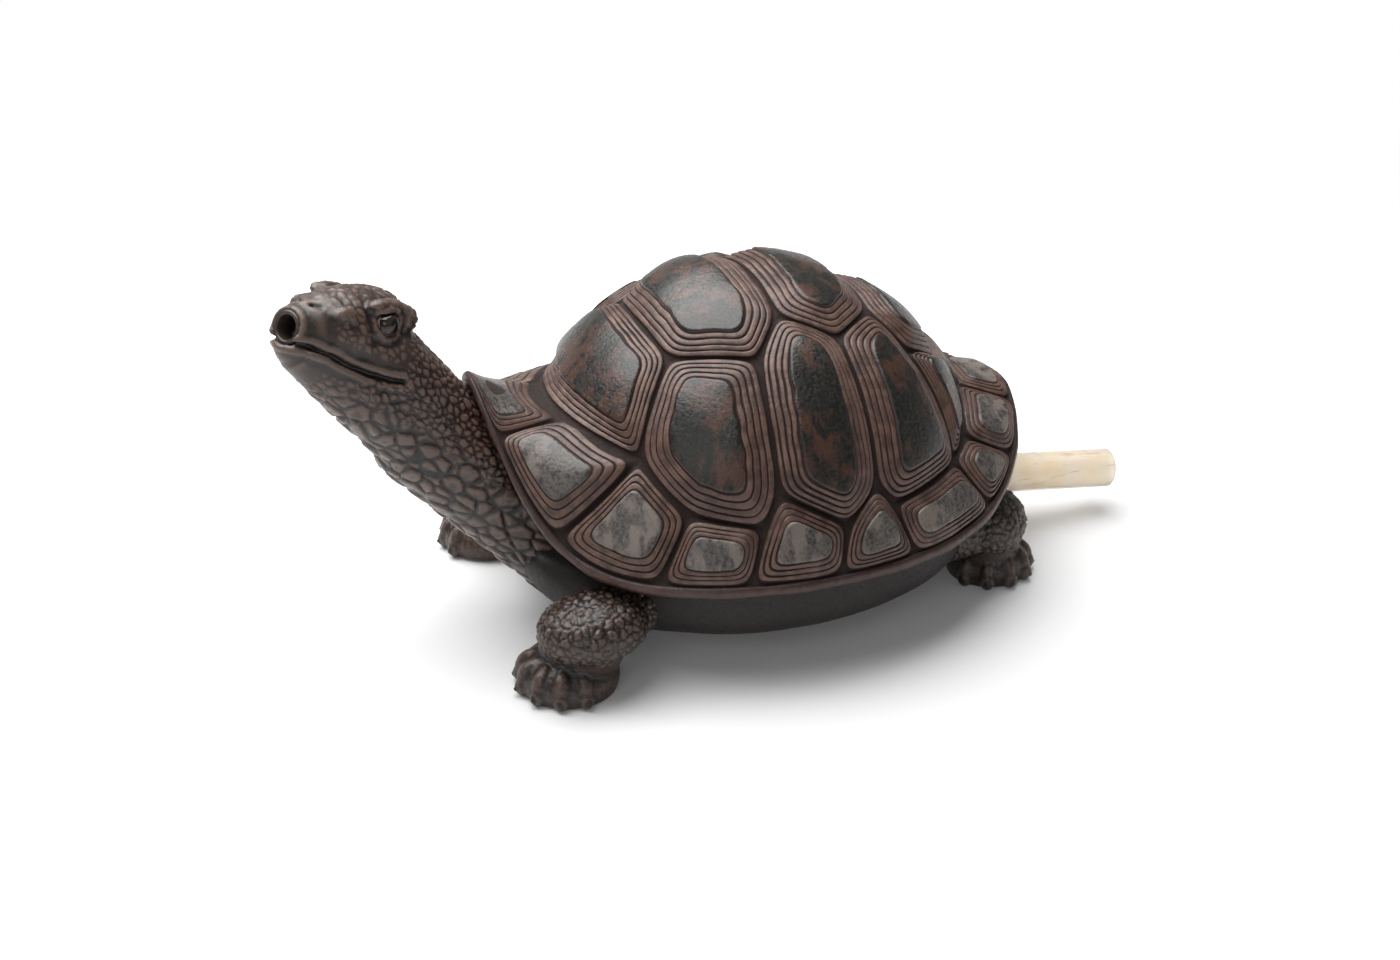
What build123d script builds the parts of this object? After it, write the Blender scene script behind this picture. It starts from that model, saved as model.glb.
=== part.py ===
from build123d import *
import math
import os

# Tortoise figurine with a water spout in its mouth and a hose stub at its rear.
# Millimetres, Z up, the head towards -Y, the tortoise's own left side towards +X.
# The part stands on its four soles, with the middle of its box over the origin.

# Domed shell: an ellipsoid with an even wall
dome_half_width = 81.5
dome_half_length = 86.0
dome_half_height = 85.0
dome_centre_y = 2.5
dome_centre_z = 44.5
dome_wall = 6.0
dome_front_y = dome_centre_y - dome_half_length
dome_rear_y = dome_centre_y + dome_half_length

# Flared rim round the dome, arched high over the neck and lower over the tail
rim_side_flare = 6.0
rim_end_flare = 22.5
rim_half_width = dome_half_width + rim_side_flare
rim_half_length = dome_half_length + rim_end_flare
rim_centre_y = dome_centre_y - 0.5
rim_side_z = 38.4
rim_front_lift = 60.0
rim_rear_lift = 26.5
rim_front_power = 9
rim_rear_power = 6
rim_band_height = 4.2
rim_band_lean = 0.8
rim_thickness = 8.0
rim_stations = 19

# Seam between the costal scutes and the marginal scutes
seam_side_z = 63.5
seam_front_lift = 23.0
seam_rear_lift = 13.0
seam_lift_power = 3
seam_seat_depth = 9.0
dome_trim_above_seat = 4.0

# Growth rings: each scute is a stack of rounded steps
scute_gap = 2.6
ring_pitch = 3.4
ring_step_height = 1.1
ring_count = 3
scute_corner_radius = 4.5
scute_root_depth = 2.5
marginal_gap = 2.2
marginal_ring_pitch = 3.6
marginal_step_height = 1.0
marginal_ring_count = 2
marginal_root_depth = 3.0
marginal_top_margin = 5.0
marginal_station_turn = 8

# Scute corners on the dome, as roll to the side and pitch to the rear, in degrees
front_lip = (10, -63)
front_side = (36, -58)
v1_v2 = (21, -32)
v2_side = (34, -12)
v2_v3 = (22, -1)
v3_side = (30, 15)
v3_v4 = (16, 29)
v4_side = (24, 41)
v4_v5 = (13, 57)
rear_side = (25, 76)
c1_low_front = (53, -66)
c1_low = (71, -53)
c1_c2 = (67, -30)
c2_low = (79, 27)
c2_c3 = (67, 39)
c3_low = (67, 58)
c3_c4 = (42, 72)
vertebral_corners = [
    [front_lip, front_side, v1_v2],
    [v1_v2, v2_side, v2_v3],
    [v2_v3, v3_side, v3_v4],
    [v3_v4, v4_side, v4_v5],
    [v4_v5, rear_side],
]
costal_corners = [
    [v1_v2, v2_side, c1_c2, c1_low, c1_low_front, front_side],
    [v2_side, v2_v3, v3_side, c2_c3, c2_low, c1_c2],
    [v3_side, v3_v4, v4_side, c3_c4, c3_low, c2_c3],
    [v4_side, v4_v5, rear_side, c3_c4],
]

# Marginal seams round one side of the rim, in degrees from the side towards the rear
marginal_seams = [-56, -34, -16, 2, 18, 38, 59, 78]

# Lower body casting: an open tub with a wall that stands up inside the shell
body_centre_y = dome_centre_y - 1.5
deck_side_inset = 2.0
deck_end_margin = 9.0
flank_side_taper = 2.5
flank_end_taper = 3.0
bilge_side_taper = 7.0
bilge_end_taper = 6.0
belly_side_taper = 13.0
belly_end_taper = 12.0
deck_z = 38.0
deck_half_width = dome_half_width - deck_side_inset
deck_half_length = dome_half_length + deck_end_margin
deck_thickness = 5.0
flank_z = 24.0
flank_half_width = deck_half_width - flank_side_taper
flank_half_length = deck_half_length - flank_end_taper
bilge_z = 14.0
bilge_half_width = flank_half_width - bilge_side_taper
bilge_half_length = flank_half_length - bilge_end_taper
belly_z = 8.0
belly_half_width = bilge_half_width - belly_side_taper
belly_half_length = bilge_half_length - belly_end_taper
body_wall = 5.0
body_floor = 7.0
chest_place = (0.0, dome_front_y + 17.5, 28.0)
chest_size = (62.0, 28.0, 17.0)
upstand_inset = 1.0
upstand_gap = 1.2
upstand_below_seat = 2.2

# Belly plate, let into the floor of the body casting
plate_side_margin = 11.0
plate_end_margin = 12.0
plate_half_width = belly_half_width - plate_side_margin
plate_half_length = belly_half_length - plate_end_margin
plate_thickness = 4.0
plate_lip = 5.0
plate_gap = 0.3
plate_edge_radius = 1.5

# Neck: two tapering lengths that meet in a rounded bend, with a flat under the root
neck_root = (0.0, dome_front_y + 18.5, 28.8)
neck_root_radius = 27.2
neck_bend = (0.0, dome_front_y - 38.0, 80.6)
neck_bend_radius = 20.8
neck_fold = 0.5
neck_foot_z = 15.0
nape_root = (0.0, dome_front_y - 30.5, 72.0)
nape_root_radius = 21.0
nape_radius = 18.3
throat_root = (0.0, dome_front_y - 32.5, 74.0)
throat_root_radius = 19.4
throat_end = (23.0, 0.0, -4.5)
throat_end_radius = 10.1
socket_gap = 0.4

# Head, turned towards the tortoise's left and raised
head_ahead = 65.5 - dome_front_y
head_height = 124.0
head_turn = 35
head_raise = 22
# Head profile, from the back of the skull to the lips: distance forward and radius
skull_back = (-19.0, 11.0)
skull_crown = (-8.0, 18.9)
skull_brow = (2.0, 18.1)
skull_cheek = (12.0, 15.0)
skull_snout = (20.0, 11.4)
skull_lips = (27.5, 7.3)
skull_profile = [skull_back, skull_crown, skull_brow, skull_cheek, skull_snout, skull_lips]
brow_place = (-4.0, 14.0, 13.6)
brow_size = (10.5, 4.2, 3.6)
nostril_place = (23.0, 4.0, 9.5)
nostril_radius = 1.0
nostril_depth = 4.0
mouth_groove_height = 1.0
mouth_groove_depth = 1.6
mouth_groove_slope = 14
mouth_groove_drop = 9.7
mouth_groove_back = 8.0

# Eyes: glossy beads set in round sockets
eye_radius = 4.4
eye_place = (-2.2, 16.0, 7.4)
eye_seat_gap = 0.15

# Spout: a sleeve in the lips, fed by a rigid pipe from the hose at the rear
spout_forward = 30.0
spout_up = 1.2
sleeve_radius = 6.0
sleeve_bore_radius = 4.6
sleeve_length = 14.0
sleeve_gap = 0.15
lip_radius = 8.0
lip_length = 6.0
lip_setback = 1.0
pipe_radius = 5.0
pipe_bore_radius = 4.0
pipe_gap = 0.5
pipe_bend_radius = 10.0
pipe_bend_gap = 1.6
pipe_throat_back = 37.0
pipe_neck_ahead = 36.5 - dome_front_y
pipe_neck_height = 77.0
pipe_bend_back = 33.5

# Hose stub, pushed over the barb of the pipe and drooping a little to its cut end
hose_radius = 8.0
hose_bore_radius = 6.0
hose_start_y = dome_rear_y + 8.0
hose_length = 68.0
hose_end_height = 17.2
hose_droop = 7
hose_grip_gap = 0.1
hose_grip_margin = 0.5
barb_length = 5.0
barb_count = 3
barb_radius = 6.4
barb_back = 1.0

# Front leg: root, shoulder, shin and foot
front_root = (45.0, dome_front_y + 31.5, 24.5)
front_root_radius = 12.0
front_shoulder = (63.0, dome_front_y + 3.0, 26.0)
front_shoulder_size = (17.0, 20.5, 12.2)
front_ankle = (58.0, dome_front_y - 2.5, 10.0)
front_shin_radius = 14.0
front_foot_place = (56.7, dome_front_y - 4.5, 6.0)
front_foot_size = (17.6, 17.6, 11.0)
front_foot_turn = 34
front_toe_count = 5
front_toe_spread = 120

# Rear leg: root, thigh, shin and foot
rear_root = (40.0, dome_rear_y - 20.5, 24.5)
rear_root_radius = 12.0
rear_thigh_place = (37.0, dome_rear_y + 0.5, 24.0)
rear_thigh_size = (15.0, 16.0, 15.0)
rear_ankle = (34.0, dome_rear_y + 2.5, 10.0)
rear_shin_radius = 13.5
rear_foot_place = (33.0, dome_rear_y + 3.5, 6.5)
rear_foot_size = (15.5, 16.0, 12.0)
rear_foot_turn = 98
rear_toe_count = 5
rear_toe_spread = 130

# Toes and claws, the same on all four feet
toe_size = (5.2, 9.0, 8.6)
toe_height = 6.2
toe_reach_share = 0.64
claw_radius = 1.3
claw_tip_radius = 0.6
claw_length = 2.6
claw_droop = 25
claw_forward_share = 0.84
claw_below_toe = 2.4

# Tail, over the hose
tail_root = (0.0, dome_rear_y - 7.5, 43.5)
tail_root_radius = 7.5
tail_tip = (-9.0, dome_rear_y + 21.5, 37.5)
tail_tip_radius = 1.6


def sine(degrees):
    return math.sin(math.radians(degrees))


def cosine(degrees):
    return math.cos(math.radians(degrees))


def ellipsoid(half_width, half_length, half_height, centre_y, centre_z):
    ball = Rot(90, 0, 0) * Sphere(1)
    return Pos(0, centre_y, centre_z) * scale(ball, by=(half_width, half_length, half_height))


def dome(growth):
    """Solid inside of the dome, grown outwards by a distance."""
    return ellipsoid(
        dome_half_width + growth, dome_half_length + growth, dome_half_height + growth,
        dome_centre_y, dome_centre_z)


def dome_point(corner):
    """Place on the dome at a roll and pitch, with the outward normal there."""
    roll, pitch = corner
    across = sine(roll)
    along = cosine(roll) * sine(pitch)
    upward = cosine(roll) * cosine(pitch)
    place = Vector(
        dome_half_width * across,
        dome_centre_y + dome_half_length * along,
        dome_centre_z + dome_half_height * upward)
    normal = Vector(across / dome_half_width, along / dome_half_length, upward / dome_half_height)
    return place, normal.normalized()


def rim_point(angle):
    lift = rim_front_lift if sine(angle) < 0 else rim_rear_lift
    power = rim_front_power if sine(angle) < 0 else rim_rear_power
    return Vector(
        rim_half_width * cosine(angle),
        rim_centre_y + rim_half_length * sine(angle),
        rim_side_z + lift * abs(sine(angle)) ** power)


def rim_normal(angle):
    return Vector(cosine(angle) / rim_half_width, sine(angle) / rim_half_length, 0).normalized()


def seam_height(angle):
    lift = seam_front_lift if sine(angle) < 0 else seam_rear_lift
    return seam_side_z + lift * abs(sine(angle)) ** seam_lift_power


def seam_reach(angle, depth):
    """Distance in from the rim to the dome, sunk by a depth, at the seam's height."""
    start = rim_point(angle)
    normal = rim_normal(angle)
    half_width = dome_half_width - depth
    half_length = dome_half_length - depth
    level = (seam_height(angle) - dome_centre_z) / (dome_half_height - depth)
    a = (normal.X / half_width) ** 2 + (normal.Y / half_length) ** 2
    b = start.X * normal.X / half_width ** 2
    b += (start.Y - dome_centre_y) * normal.Y / half_length ** 2
    c = (start.X / half_width) ** 2 + ((start.Y - dome_centre_y) / half_length) ** 2
    c += level ** 2 - 1
    return (b - math.sqrt(b * b - a * c)) / a


def rim_plane(angle):
    normal = rim_normal(angle)
    return Plane(origin=rim_point(angle), x_dir=normal, z_dir=(normal.Y, -normal.X, 0))


def rim_section(angle):
    """Cross-section of the flared rim, from the wall of the dome out to the lip."""
    reach = seam_reach(angle, dome_wall / 2)
    rise = seam_height(angle) - rim_point(angle).Z
    outline = Polyline(
        (0, 0), (-rim_band_lean, rim_band_height), (-reach, rise),
        (-reach, rise - seam_seat_depth), (-rim_thickness, 0), close=True)
    return rim_plane(angle) * make_face(outline)


def rim_angles():
    return [-90 + 180 * i / (rim_stations - 1) for i in range(rim_stations)]


def rim_half():
    return loft([rim_section(angle) for angle in rim_angles()])


def under_seam(drop):
    """Everything that lies more than a drop below the seam between dome and rim."""
    line = []
    for angle in rim_angles():
        inner = rim_point(angle) - rim_normal(angle) * seam_reach(angle, dome_wall / 2)
        line.append((inner.Y, seam_height(angle) - drop))
    front = line[0]
    rear = line[-1]
    low = dome_centre_z - 2 * dome_half_height
    far = 2 * rim_half_length
    edges = Spline(*line) + Polyline(
        rear, (far, rear[1]), (far, low), (-far, low), (-far, front[1]), front)
    return extrude(Plane.YZ * make_face(edges), amount=2 * rim_half_width, both=True)


def dome_shell():
    """Dome with its wall, trimmed below along the rim's seat."""
    return dome(0) - dome(-dome_wall) - under_seam(dome_trim_above_seat)


def mirrored_corners(corners):
    """Closed outline over the midline, from the corners of its left half."""
    return corners + [(-roll, pitch) for roll, pitch in reversed(corners)]


def scute_steps(corners):
    """Rounded steps of one scute, each smaller and higher than the last."""
    places = [dome_point(corner)[0] for corner in corners]
    centre = sum(places, Vector()) / len(places)
    normal = sum([dome_point(corner)[1] for corner in corners], Vector()).normalized()
    plane = Plane(origin=centre, x_dir=Vector(0, 1, 0).cross(normal), z_dir=normal)
    local = [plane.to_local_coords(place) for place in places]
    outline = make_face(Polyline(*[(place.X, place.Y) for place in local], close=True))
    steps = []
    for level in range(ring_count):
        inset = scute_gap / 2 + level * ring_pitch
        core = offset(outline, amount=-inset - scute_corner_radius, kind=Kind.INTERSECTION)
        step = offset(core, amount=scute_corner_radius, kind=Kind.ARC)
        prism = extrude(plane * step, amount=dome_half_height, dir=normal)
        root = extrude(plane * step, amount=-scute_root_depth, dir=normal)
        steps.append((prism + root) & dome((level + 1) * ring_step_height))
    return steps


def strip_section(angle, low, high, height):
    """Strip on the rim's sloping face, from the band up towards the seam."""
    reach = seam_reach(angle, dome_wall / 2)
    rise = seam_height(angle) - rim_point(angle).Z
    start = Vector(-rim_band_lean, rim_band_height)
    along = Vector(-reach, rise) - start
    slope = along.length
    along = along.normalized()
    outward = Vector(along.Y, -along.X)
    first = start + along * low
    last = start + along * (slope - high)
    root = outward * -marginal_root_depth
    crest = outward * height
    corners = [first + root, last + root, last + crest, first + crest]
    outline = Polyline(*[(corner.X, corner.Y) for corner in corners], close=True)
    return rim_plane(angle) * make_face(outline)


def rim_degrees(length, angle):
    """Turn round the rim that covers a length there."""
    pace = math.hypot(rim_half_width * sine(angle), rim_half_length * cosine(angle))
    return math.degrees(length / pace)


def marginal_steps(first_angle, last_angle):
    steps = []
    for level in range(marginal_ring_count):
        inset = marginal_gap / 2 + level * marginal_ring_pitch
        start = first_angle + rim_degrees(inset, first_angle)
        end = last_angle - rim_degrees(inset, last_angle)
        spans = math.ceil((last_angle - first_angle) / marginal_station_turn)
        turn = (end - start) / spans
        height = (level + 1) * marginal_step_height
        low = level * marginal_ring_pitch
        high = marginal_top_margin + level * marginal_ring_pitch
        sections = [strip_section(start + turn * i, low, high, height) for i in range(spans + 1)]
        steps.append(loft(sections))
    return steps


def left_half(solid):
    reach = 4 * rim_half_length
    return solid & Box(reach, reach, reach, align=(Align.MIN, Align.CENTER, Align.CENTER))


def both_sides(solids):
    return solids + [mirror(solid, about=Plane.YZ) for solid in solids]


def carapace():
    """Upper shell: dome, flared rim, and the stepped scutes over both."""
    middle_steps = []
    for corners in vertebral_corners:
        middle_steps += scute_steps(mirrored_corners(corners))
    middle_steps += marginal_steps(-180 - marginal_seams[0], marginal_seams[0])
    middle_steps += marginal_steps(marginal_seams[-1], 180 - marginal_seams[-1])
    steps = [left_half(step) for step in middle_steps]
    for corners in costal_corners:
        steps += scute_steps(corners)
    for first_angle, last_angle in zip(marginal_seams, marginal_seams[1:]):
        steps += marginal_steps(first_angle, last_angle)
    half = rim_half() + [left_half(dome_shell())] + steps
    return half + mirror(half, about=Plane.YZ)


def elliptic_slice(half_width, half_length, height):
    return Pos(0, body_centre_y, height) * Ellipse(half_width, half_length)


def body_bowl():
    """Outer form of the lower body, from the belly up to the deck."""
    return loft([
        elliptic_slice(belly_half_width, belly_half_length, belly_z),
        elliptic_slice(bilge_half_width, bilge_half_length, bilge_z),
        elliptic_slice(flank_half_width, flank_half_length, flank_z),
        elliptic_slice(deck_half_width, deck_half_length, deck_z),
    ])


def body_hollow():
    """Space inside the lower body, between its floor and its deck."""
    wall = body_wall
    return loft([
        elliptic_slice(belly_half_width - wall, belly_half_length - wall, belly_z + body_floor),
        elliptic_slice(bilge_half_width - wall, bilge_half_length - wall, bilge_z + body_floor),
        elliptic_slice(deck_half_width - wall, deck_half_length - wall, deck_z - deck_thickness),
    ])


def upstand_outline(inset):
    inset += dome_wall + upstand_gap
    outline = Ellipse(dome_half_width - inset, dome_half_length - inset)
    return Pos(0, dome_centre_y, deck_z) * outline


def body_upstand():
    """Wall that stands up from the deck inside the dome, under the seat of the rim."""
    outline = upstand_outline(upstand_inset) - upstand_outline(upstand_inset + body_wall)
    wall = extrude(outline, amount=seam_side_z + seam_front_lift - deck_z)
    return wall & under_seam(seam_seat_depth + upstand_below_seat) & dome(-dome_wall - upstand_gap)


def plate_outline(growth):
    return elliptic_slice(plate_half_width + growth, plate_half_length + growth, belly_z)


def body_shell():
    """Lower casting: tub, deck and upstand, with sockets for neck, legs, tail and pipe."""
    shell = body_bowl() - body_hollow() + bead(chest_place, chest_size)
    shell -= extrude(upstand_outline(upstand_inset + body_wall), amount=deck_thickness, both=True)
    shell += body_upstand()
    shell -= extrude(plate_outline(plate_gap), amount=plate_thickness)
    shell -= extrude(plate_outline(-plate_lip), amount=2 * body_floor)
    points = pipe_points()
    pipe_hole = rod(points[-2], points[-1], pipe_radius + pipe_gap)
    sockets = [neck_base(socket_gap), tail_cone(socket_gap), pipe_hole]
    sockets += both_sides([front_thigh(socket_gap), rear_thigh(socket_gap)])
    return shell - sockets


def plastron_plate():
    plate = extrude(plate_outline(0), amount=plate_thickness)
    return fillet(plate.edges().group_by(Axis.Z)[0], plate_edge_radius)


def head_axes():
    """Directions forward, to the left and up, as the head is turned and raised."""
    forward = Vector(
        sine(head_turn) * cosine(head_raise),
        -cosine(head_turn) * cosine(head_raise),
        sine(head_raise))
    left = Vector(cosine(head_turn), sine(head_turn), 0)
    return forward, left, forward.cross(left)


def head_point(ahead, aside, above):
    forward, left, up = head_axes()
    return Vector(0, -head_ahead, head_height) + forward * ahead + left * aside + up * above


def head_plane(ahead, aside, above):
    forward, left, up = head_axes()
    return Plane(origin=head_point(ahead, aside, above), x_dir=left, z_dir=forward)


def taper(start, end, start_radius, end_radius):
    """Round length that narrows or widens evenly from one place to another."""
    start = Vector(*start)
    run = Vector(*end) - start
    cone = Cone(start_radius, end_radius, run.length, align=(Align.CENTER, Align.CENTER, Align.MIN))
    return Plane(origin=start, z_dir=run) * cone


def above(solid, height):
    reach = 4 * rim_half_length
    keep = Box(reach, reach, reach, align=(Align.CENTER, Align.CENTER, Align.MIN))
    return solid & Pos(0, 0, height) * keep


def neck_base(growth):
    """Lower length of the neck, which comes out of the body, grown by a clearance."""
    base = taper(neck_root, neck_bend, neck_root_radius + growth, neck_bend_radius + growth)
    return above(base, neck_foot_z - growth)


def skull(inset):
    """Head without its features, round about its own axis, sunk by an inset."""
    profile = [(ahead - inset, radius - inset) for ahead, radius in skull_profile]
    back = (skull_back[0] - inset, 0)
    front = (skull_lips[0] - inset, 0)
    line = Spline(*profile) + Polyline(profile[-1], front, back, profile[0])
    forward, left, up = head_axes()
    plane = Plane(origin=head_point(0, 0, 0), x_dir=forward, z_dir=left)
    return plane * revolve(make_face(line), Axis.X)


def head_rod(ahead, above, radius, length):
    """Cylinder that runs back along the head's axis from its front face."""
    return extrude(head_plane(ahead, 0, above) * Circle(radius), amount=-length)


def head_bead(place, size):
    """Ellipsoid set square to the head: half length, half width and half height."""
    forward, left, up = head_axes()
    plane = Plane(origin=head_point(*place), x_dir=forward, z_dir=up)
    return plane * scale(Sphere(1), by=size)


def opposite(place):
    ahead, aside, above = place
    return ahead, -aside, above


def mouth_groove():
    """Thin sloping cut of even depth that parts the lips as far as the cheeks."""
    reach = 2 * skull_lips[0]
    sheet = Box(reach, reach, mouth_groove_height, align=(Align.MIN, Align.CENTER, Align.CENTER))
    forward, left, up = head_axes()
    along = forward * cosine(mouth_groove_slope) + up * sine(mouth_groove_slope)
    plane = Plane(origin=head_point(0, 0, -mouth_groove_drop), x_dir=along, z_dir=along.cross(left))
    return plane * Pos(-mouth_groove_back, 0, 0) * sheet - skull(mouth_groove_depth)


def head_and_neck():
    """Casting of the head and neck, with spout seat, eye sockets, nostrils and mouth."""
    nape = taper(nape_root, head_point(0, 0, 0), nape_root_radius, nape_radius)
    throat = taper(throat_root, head_point(*throat_end), throat_root_radius, throat_end_radius)
    fold = Pos(*neck_bend) * Sphere(neck_bend_radius + neck_fold)
    lips = head_rod(spout_forward - lip_setback, spout_up, lip_radius, lip_length)
    brows = [head_bead(place, brow_size) for place in (brow_place, opposite(brow_place))]
    head = skull(0) + [lips] + brows
    head += neck_base(0) + [nape, fold, throat]
    points = pipe_points()
    channel = pipe_radius + pipe_bend_gap
    hollows = [rod(first, second, channel) for first, second in zip(points[:3], points[1:])]
    hollows += [Pos(*point) * Sphere(channel) for point in points[1:4]]
    hollows.append(head_rod(spout_forward, spout_up, sleeve_radius + sleeve_gap, sleeve_length))
    for place in (nostril_place, opposite(nostril_place)):
        hollows.append(nostril(place))
    for place in (eye_place, opposite(eye_place)):
        head -= eye(place, eye_seat_gap)
    return head - mouth_groove() - hollows


def nostril(place):
    ahead, aside, above = place
    hole = head_plane(ahead + nostril_depth, aside, above) * Circle(nostril_radius)
    return extrude(hole, amount=-2 * nostril_depth)


def eye(place, growth):
    forward, left, up = head_axes()
    plane = Plane(origin=head_point(*place), x_dir=forward, z_dir=left)
    return plane * Sphere(eye_radius + growth)


def mouth_nozzle():
    sleeve = head_rod(spout_forward, spout_up, sleeve_radius, sleeve_length)
    return sleeve - head_rod(spout_forward, spout_up, sleeve_bore_radius, sleeve_length)


def hose_axis():
    """Start of the hose at the body, and its direction."""
    direction = Vector(0, cosine(hose_droop), -sine(hose_droop))
    start = Vector(0, hose_start_y, hose_end_height + hose_length * sine(hose_droop))
    return start, direction


def pipe_points():
    start, direction = hose_axis()
    bend_run = (hose_start_y - dome_front_y - pipe_bend_back) / direction.Y
    return [
        head_point(spout_forward - sleeve_length, 0, spout_up),
        head_point(spout_forward - pipe_throat_back, 0, spout_up),
        Vector(0, -pipe_neck_ahead, pipe_neck_height),
        start - direction * bend_run,
        start + direction * barb_back,
    ]


def pipe_run(radius):
    points = pipe_points()
    path = FilletPolyline(*points, radius=pipe_bend_radius)
    section = Plane(origin=points[0], z_dir=points[1] - points[0]) * Circle(radius)
    return sweep(section, path=path)


def water_pipe():
    """Rigid pipe from the sleeve in the mouth to the hose, with a barbed end."""
    start, direction = hose_axis()
    origin = start + direction * barb_back
    plane = Plane(origin=origin, x_dir=(1, 0, 0), z_dir=direction)
    barbs = Plane.XZ * make_face(Polyline(*barb_outline(), close=True))
    barbs = revolve(barbs, Axis.Z)
    pipe = pipe_run(pipe_radius) + plane * barbs
    bore = extrude(plane * Circle(pipe_bore_radius), amount=barb_count * barb_length)
    return pipe - pipe_run(pipe_bore_radius) - bore


def barb_outline():
    """Saw-tooth profile of the barbs, beside the pipe's axis."""
    points = [(0, 0)]
    for i in range(barb_count):
        points.append((barb_radius, i * barb_length))
        points.append((pipe_radius, (i + 1) * barb_length))
    points.append((0, barb_count * barb_length))
    return points


def inlet_hose():
    """Hose stub, stretched where it grips the barbs and cut square at its free end."""
    start, direction = hose_axis()
    plane = Plane(origin=start, x_dir=(1, 0, 0), z_dir=direction)
    grip_length = barb_back + barb_count * barb_length + hose_grip_margin
    grip_bore_radius = barb_radius + hose_grip_gap
    grip_radius = grip_bore_radius + hose_radius - hose_bore_radius
    grip = extrude(plane * (Circle(grip_radius) - Circle(grip_bore_radius)), amount=grip_length)
    wall = Circle(hose_radius) - Circle(hose_bore_radius)
    return grip + extrude(plane.offset(grip_length) * wall, amount=hose_length - grip_length)


def rod(start, end, radius):
    start = Vector(*start)
    run = Vector(*end) - start
    return extrude(Plane(origin=start, z_dir=run) * Circle(radius), amount=run.length)


def bead(place, size, turn=0):
    """Ellipsoid turned about a vertical line through its centre."""
    return Pos(*place) * Rot(0, 0, turn) * scale(Sphere(1), by=size)


def grown(size, growth):
    return tuple(length + growth for length in size)


def front_thigh(growth):
    thigh = rod(front_root, front_shoulder, front_root_radius + growth)
    thigh += bead(front_shoulder, grown(front_shoulder_size, growth))
    return thigh + rod(front_shoulder, front_ankle, front_shin_radius + growth)


def rear_thigh(growth):
    thigh = rod(rear_root, rear_thigh_place, rear_root_radius + growth)
    thigh += bead(rear_thigh_place, grown(rear_thigh_size, growth))
    return thigh + rod(rear_thigh_place, rear_ankle, rear_shin_radius + growth)


def toe(knuckle, aim, turn):
    """One toe with the claw at its tip, as two solids."""
    droop = aim * cosine(claw_droop) - Vector(0, 0, sine(claw_droop))
    base = knuckle + aim * toe_size[1] * claw_forward_share - Vector(0, 0, claw_below_toe)
    claw = Cone(claw_radius, claw_tip_radius, claw_length, align=(Align.CENTER, Align.CENTER, Align.MIN))
    return [bead(knuckle, toe_size, turn), Plane(origin=base, z_dir=droop) * claw]


def foot(place, size, turn, toe_count, toe_spread):
    """Foot on the ground, with its toes fanned about the way it points."""
    knuckles = Vector(place[0], place[1], toe_height)
    half_width, half_length, half_height = size
    solids = [bead(place, size, turn)]
    for i in range(toe_count):
        fan = toe_spread * (i / (toe_count - 1) - 0.5)
        reach = toe_reach_share / math.hypot(sine(fan) / half_width, cosine(fan) / half_length)
        aim = Vector(sine(turn + fan), -cosine(turn + fan), 0)
        solids += toe(knuckles + aim * reach, aim, turn + fan)
    return solids


def front_leg():
    toes = foot(front_foot_place, front_foot_size, front_foot_turn, front_toe_count, front_toe_spread)
    return above(front_thigh(0) + toes, 0)


def rear_leg():
    toes = foot(rear_foot_place, rear_foot_size, rear_foot_turn, rear_toe_count, rear_toe_spread)
    return above(rear_thigh(0) + toes, 0)


def tail_cone(growth):
    return taper(tail_root, tail_tip, tail_root_radius + growth, tail_tip_radius + growth)


def pieces():
    left_front = front_leg()
    left_rear = rear_leg()
    return {
        "carapace": carapace(),
        "body_shell": body_shell(),
        "plastron_plate": plastron_plate(),
        "head_and_neck": head_and_neck(),
        "front_left_leg": left_front,
        "front_right_leg": mirror(left_front, about=Plane.YZ),
        "rear_left_leg": left_rear,
        "rear_right_leg": mirror(left_rear, about=Plane.YZ),
        "tail": tail_cone(0),
        "eye_left": eye(eye_place, 0),
        "eye_right": eye(opposite(eye_place), 0),
        "water_pipe": water_pipe(),
        "mouth_nozzle": mouth_nozzle(),
        "inlet_hose": inlet_hose(),
    }


def main():
    """Write each piece, with the middle of the whole box over the origin."""
    os.makedirs("parts", exist_ok=True)
    parts = pieces()
    box = Compound(children=[solid for part in parts.values() for solid in part.solids()]).bounding_box()
    middle = box.center()
    shift = Pos(-middle.X, -middle.Y, -box.min.Z)
    for name, part in parts.items():
        export_step(shift * part, f"parts/{name}.step")
    print("shift", -middle.X, -middle.Y, -box.min.Z)


main()
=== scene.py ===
import math
import bpy
import bmesh
import numpy as np
from mathutils import Matrix, Vector, noise


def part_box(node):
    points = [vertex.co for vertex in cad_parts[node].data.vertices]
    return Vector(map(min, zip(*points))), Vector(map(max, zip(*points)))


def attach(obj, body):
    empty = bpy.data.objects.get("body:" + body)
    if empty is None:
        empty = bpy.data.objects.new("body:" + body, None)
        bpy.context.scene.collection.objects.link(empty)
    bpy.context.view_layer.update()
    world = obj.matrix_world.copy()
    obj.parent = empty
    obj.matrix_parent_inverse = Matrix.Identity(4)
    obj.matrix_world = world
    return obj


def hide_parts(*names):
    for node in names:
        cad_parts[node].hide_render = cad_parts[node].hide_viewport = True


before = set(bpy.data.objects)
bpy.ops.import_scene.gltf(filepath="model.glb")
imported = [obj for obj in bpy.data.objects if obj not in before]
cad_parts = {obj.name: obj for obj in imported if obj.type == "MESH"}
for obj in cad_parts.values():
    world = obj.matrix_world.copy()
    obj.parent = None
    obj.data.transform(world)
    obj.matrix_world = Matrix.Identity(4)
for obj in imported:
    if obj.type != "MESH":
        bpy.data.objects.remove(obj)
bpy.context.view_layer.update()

millimetre = 0.001

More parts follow.
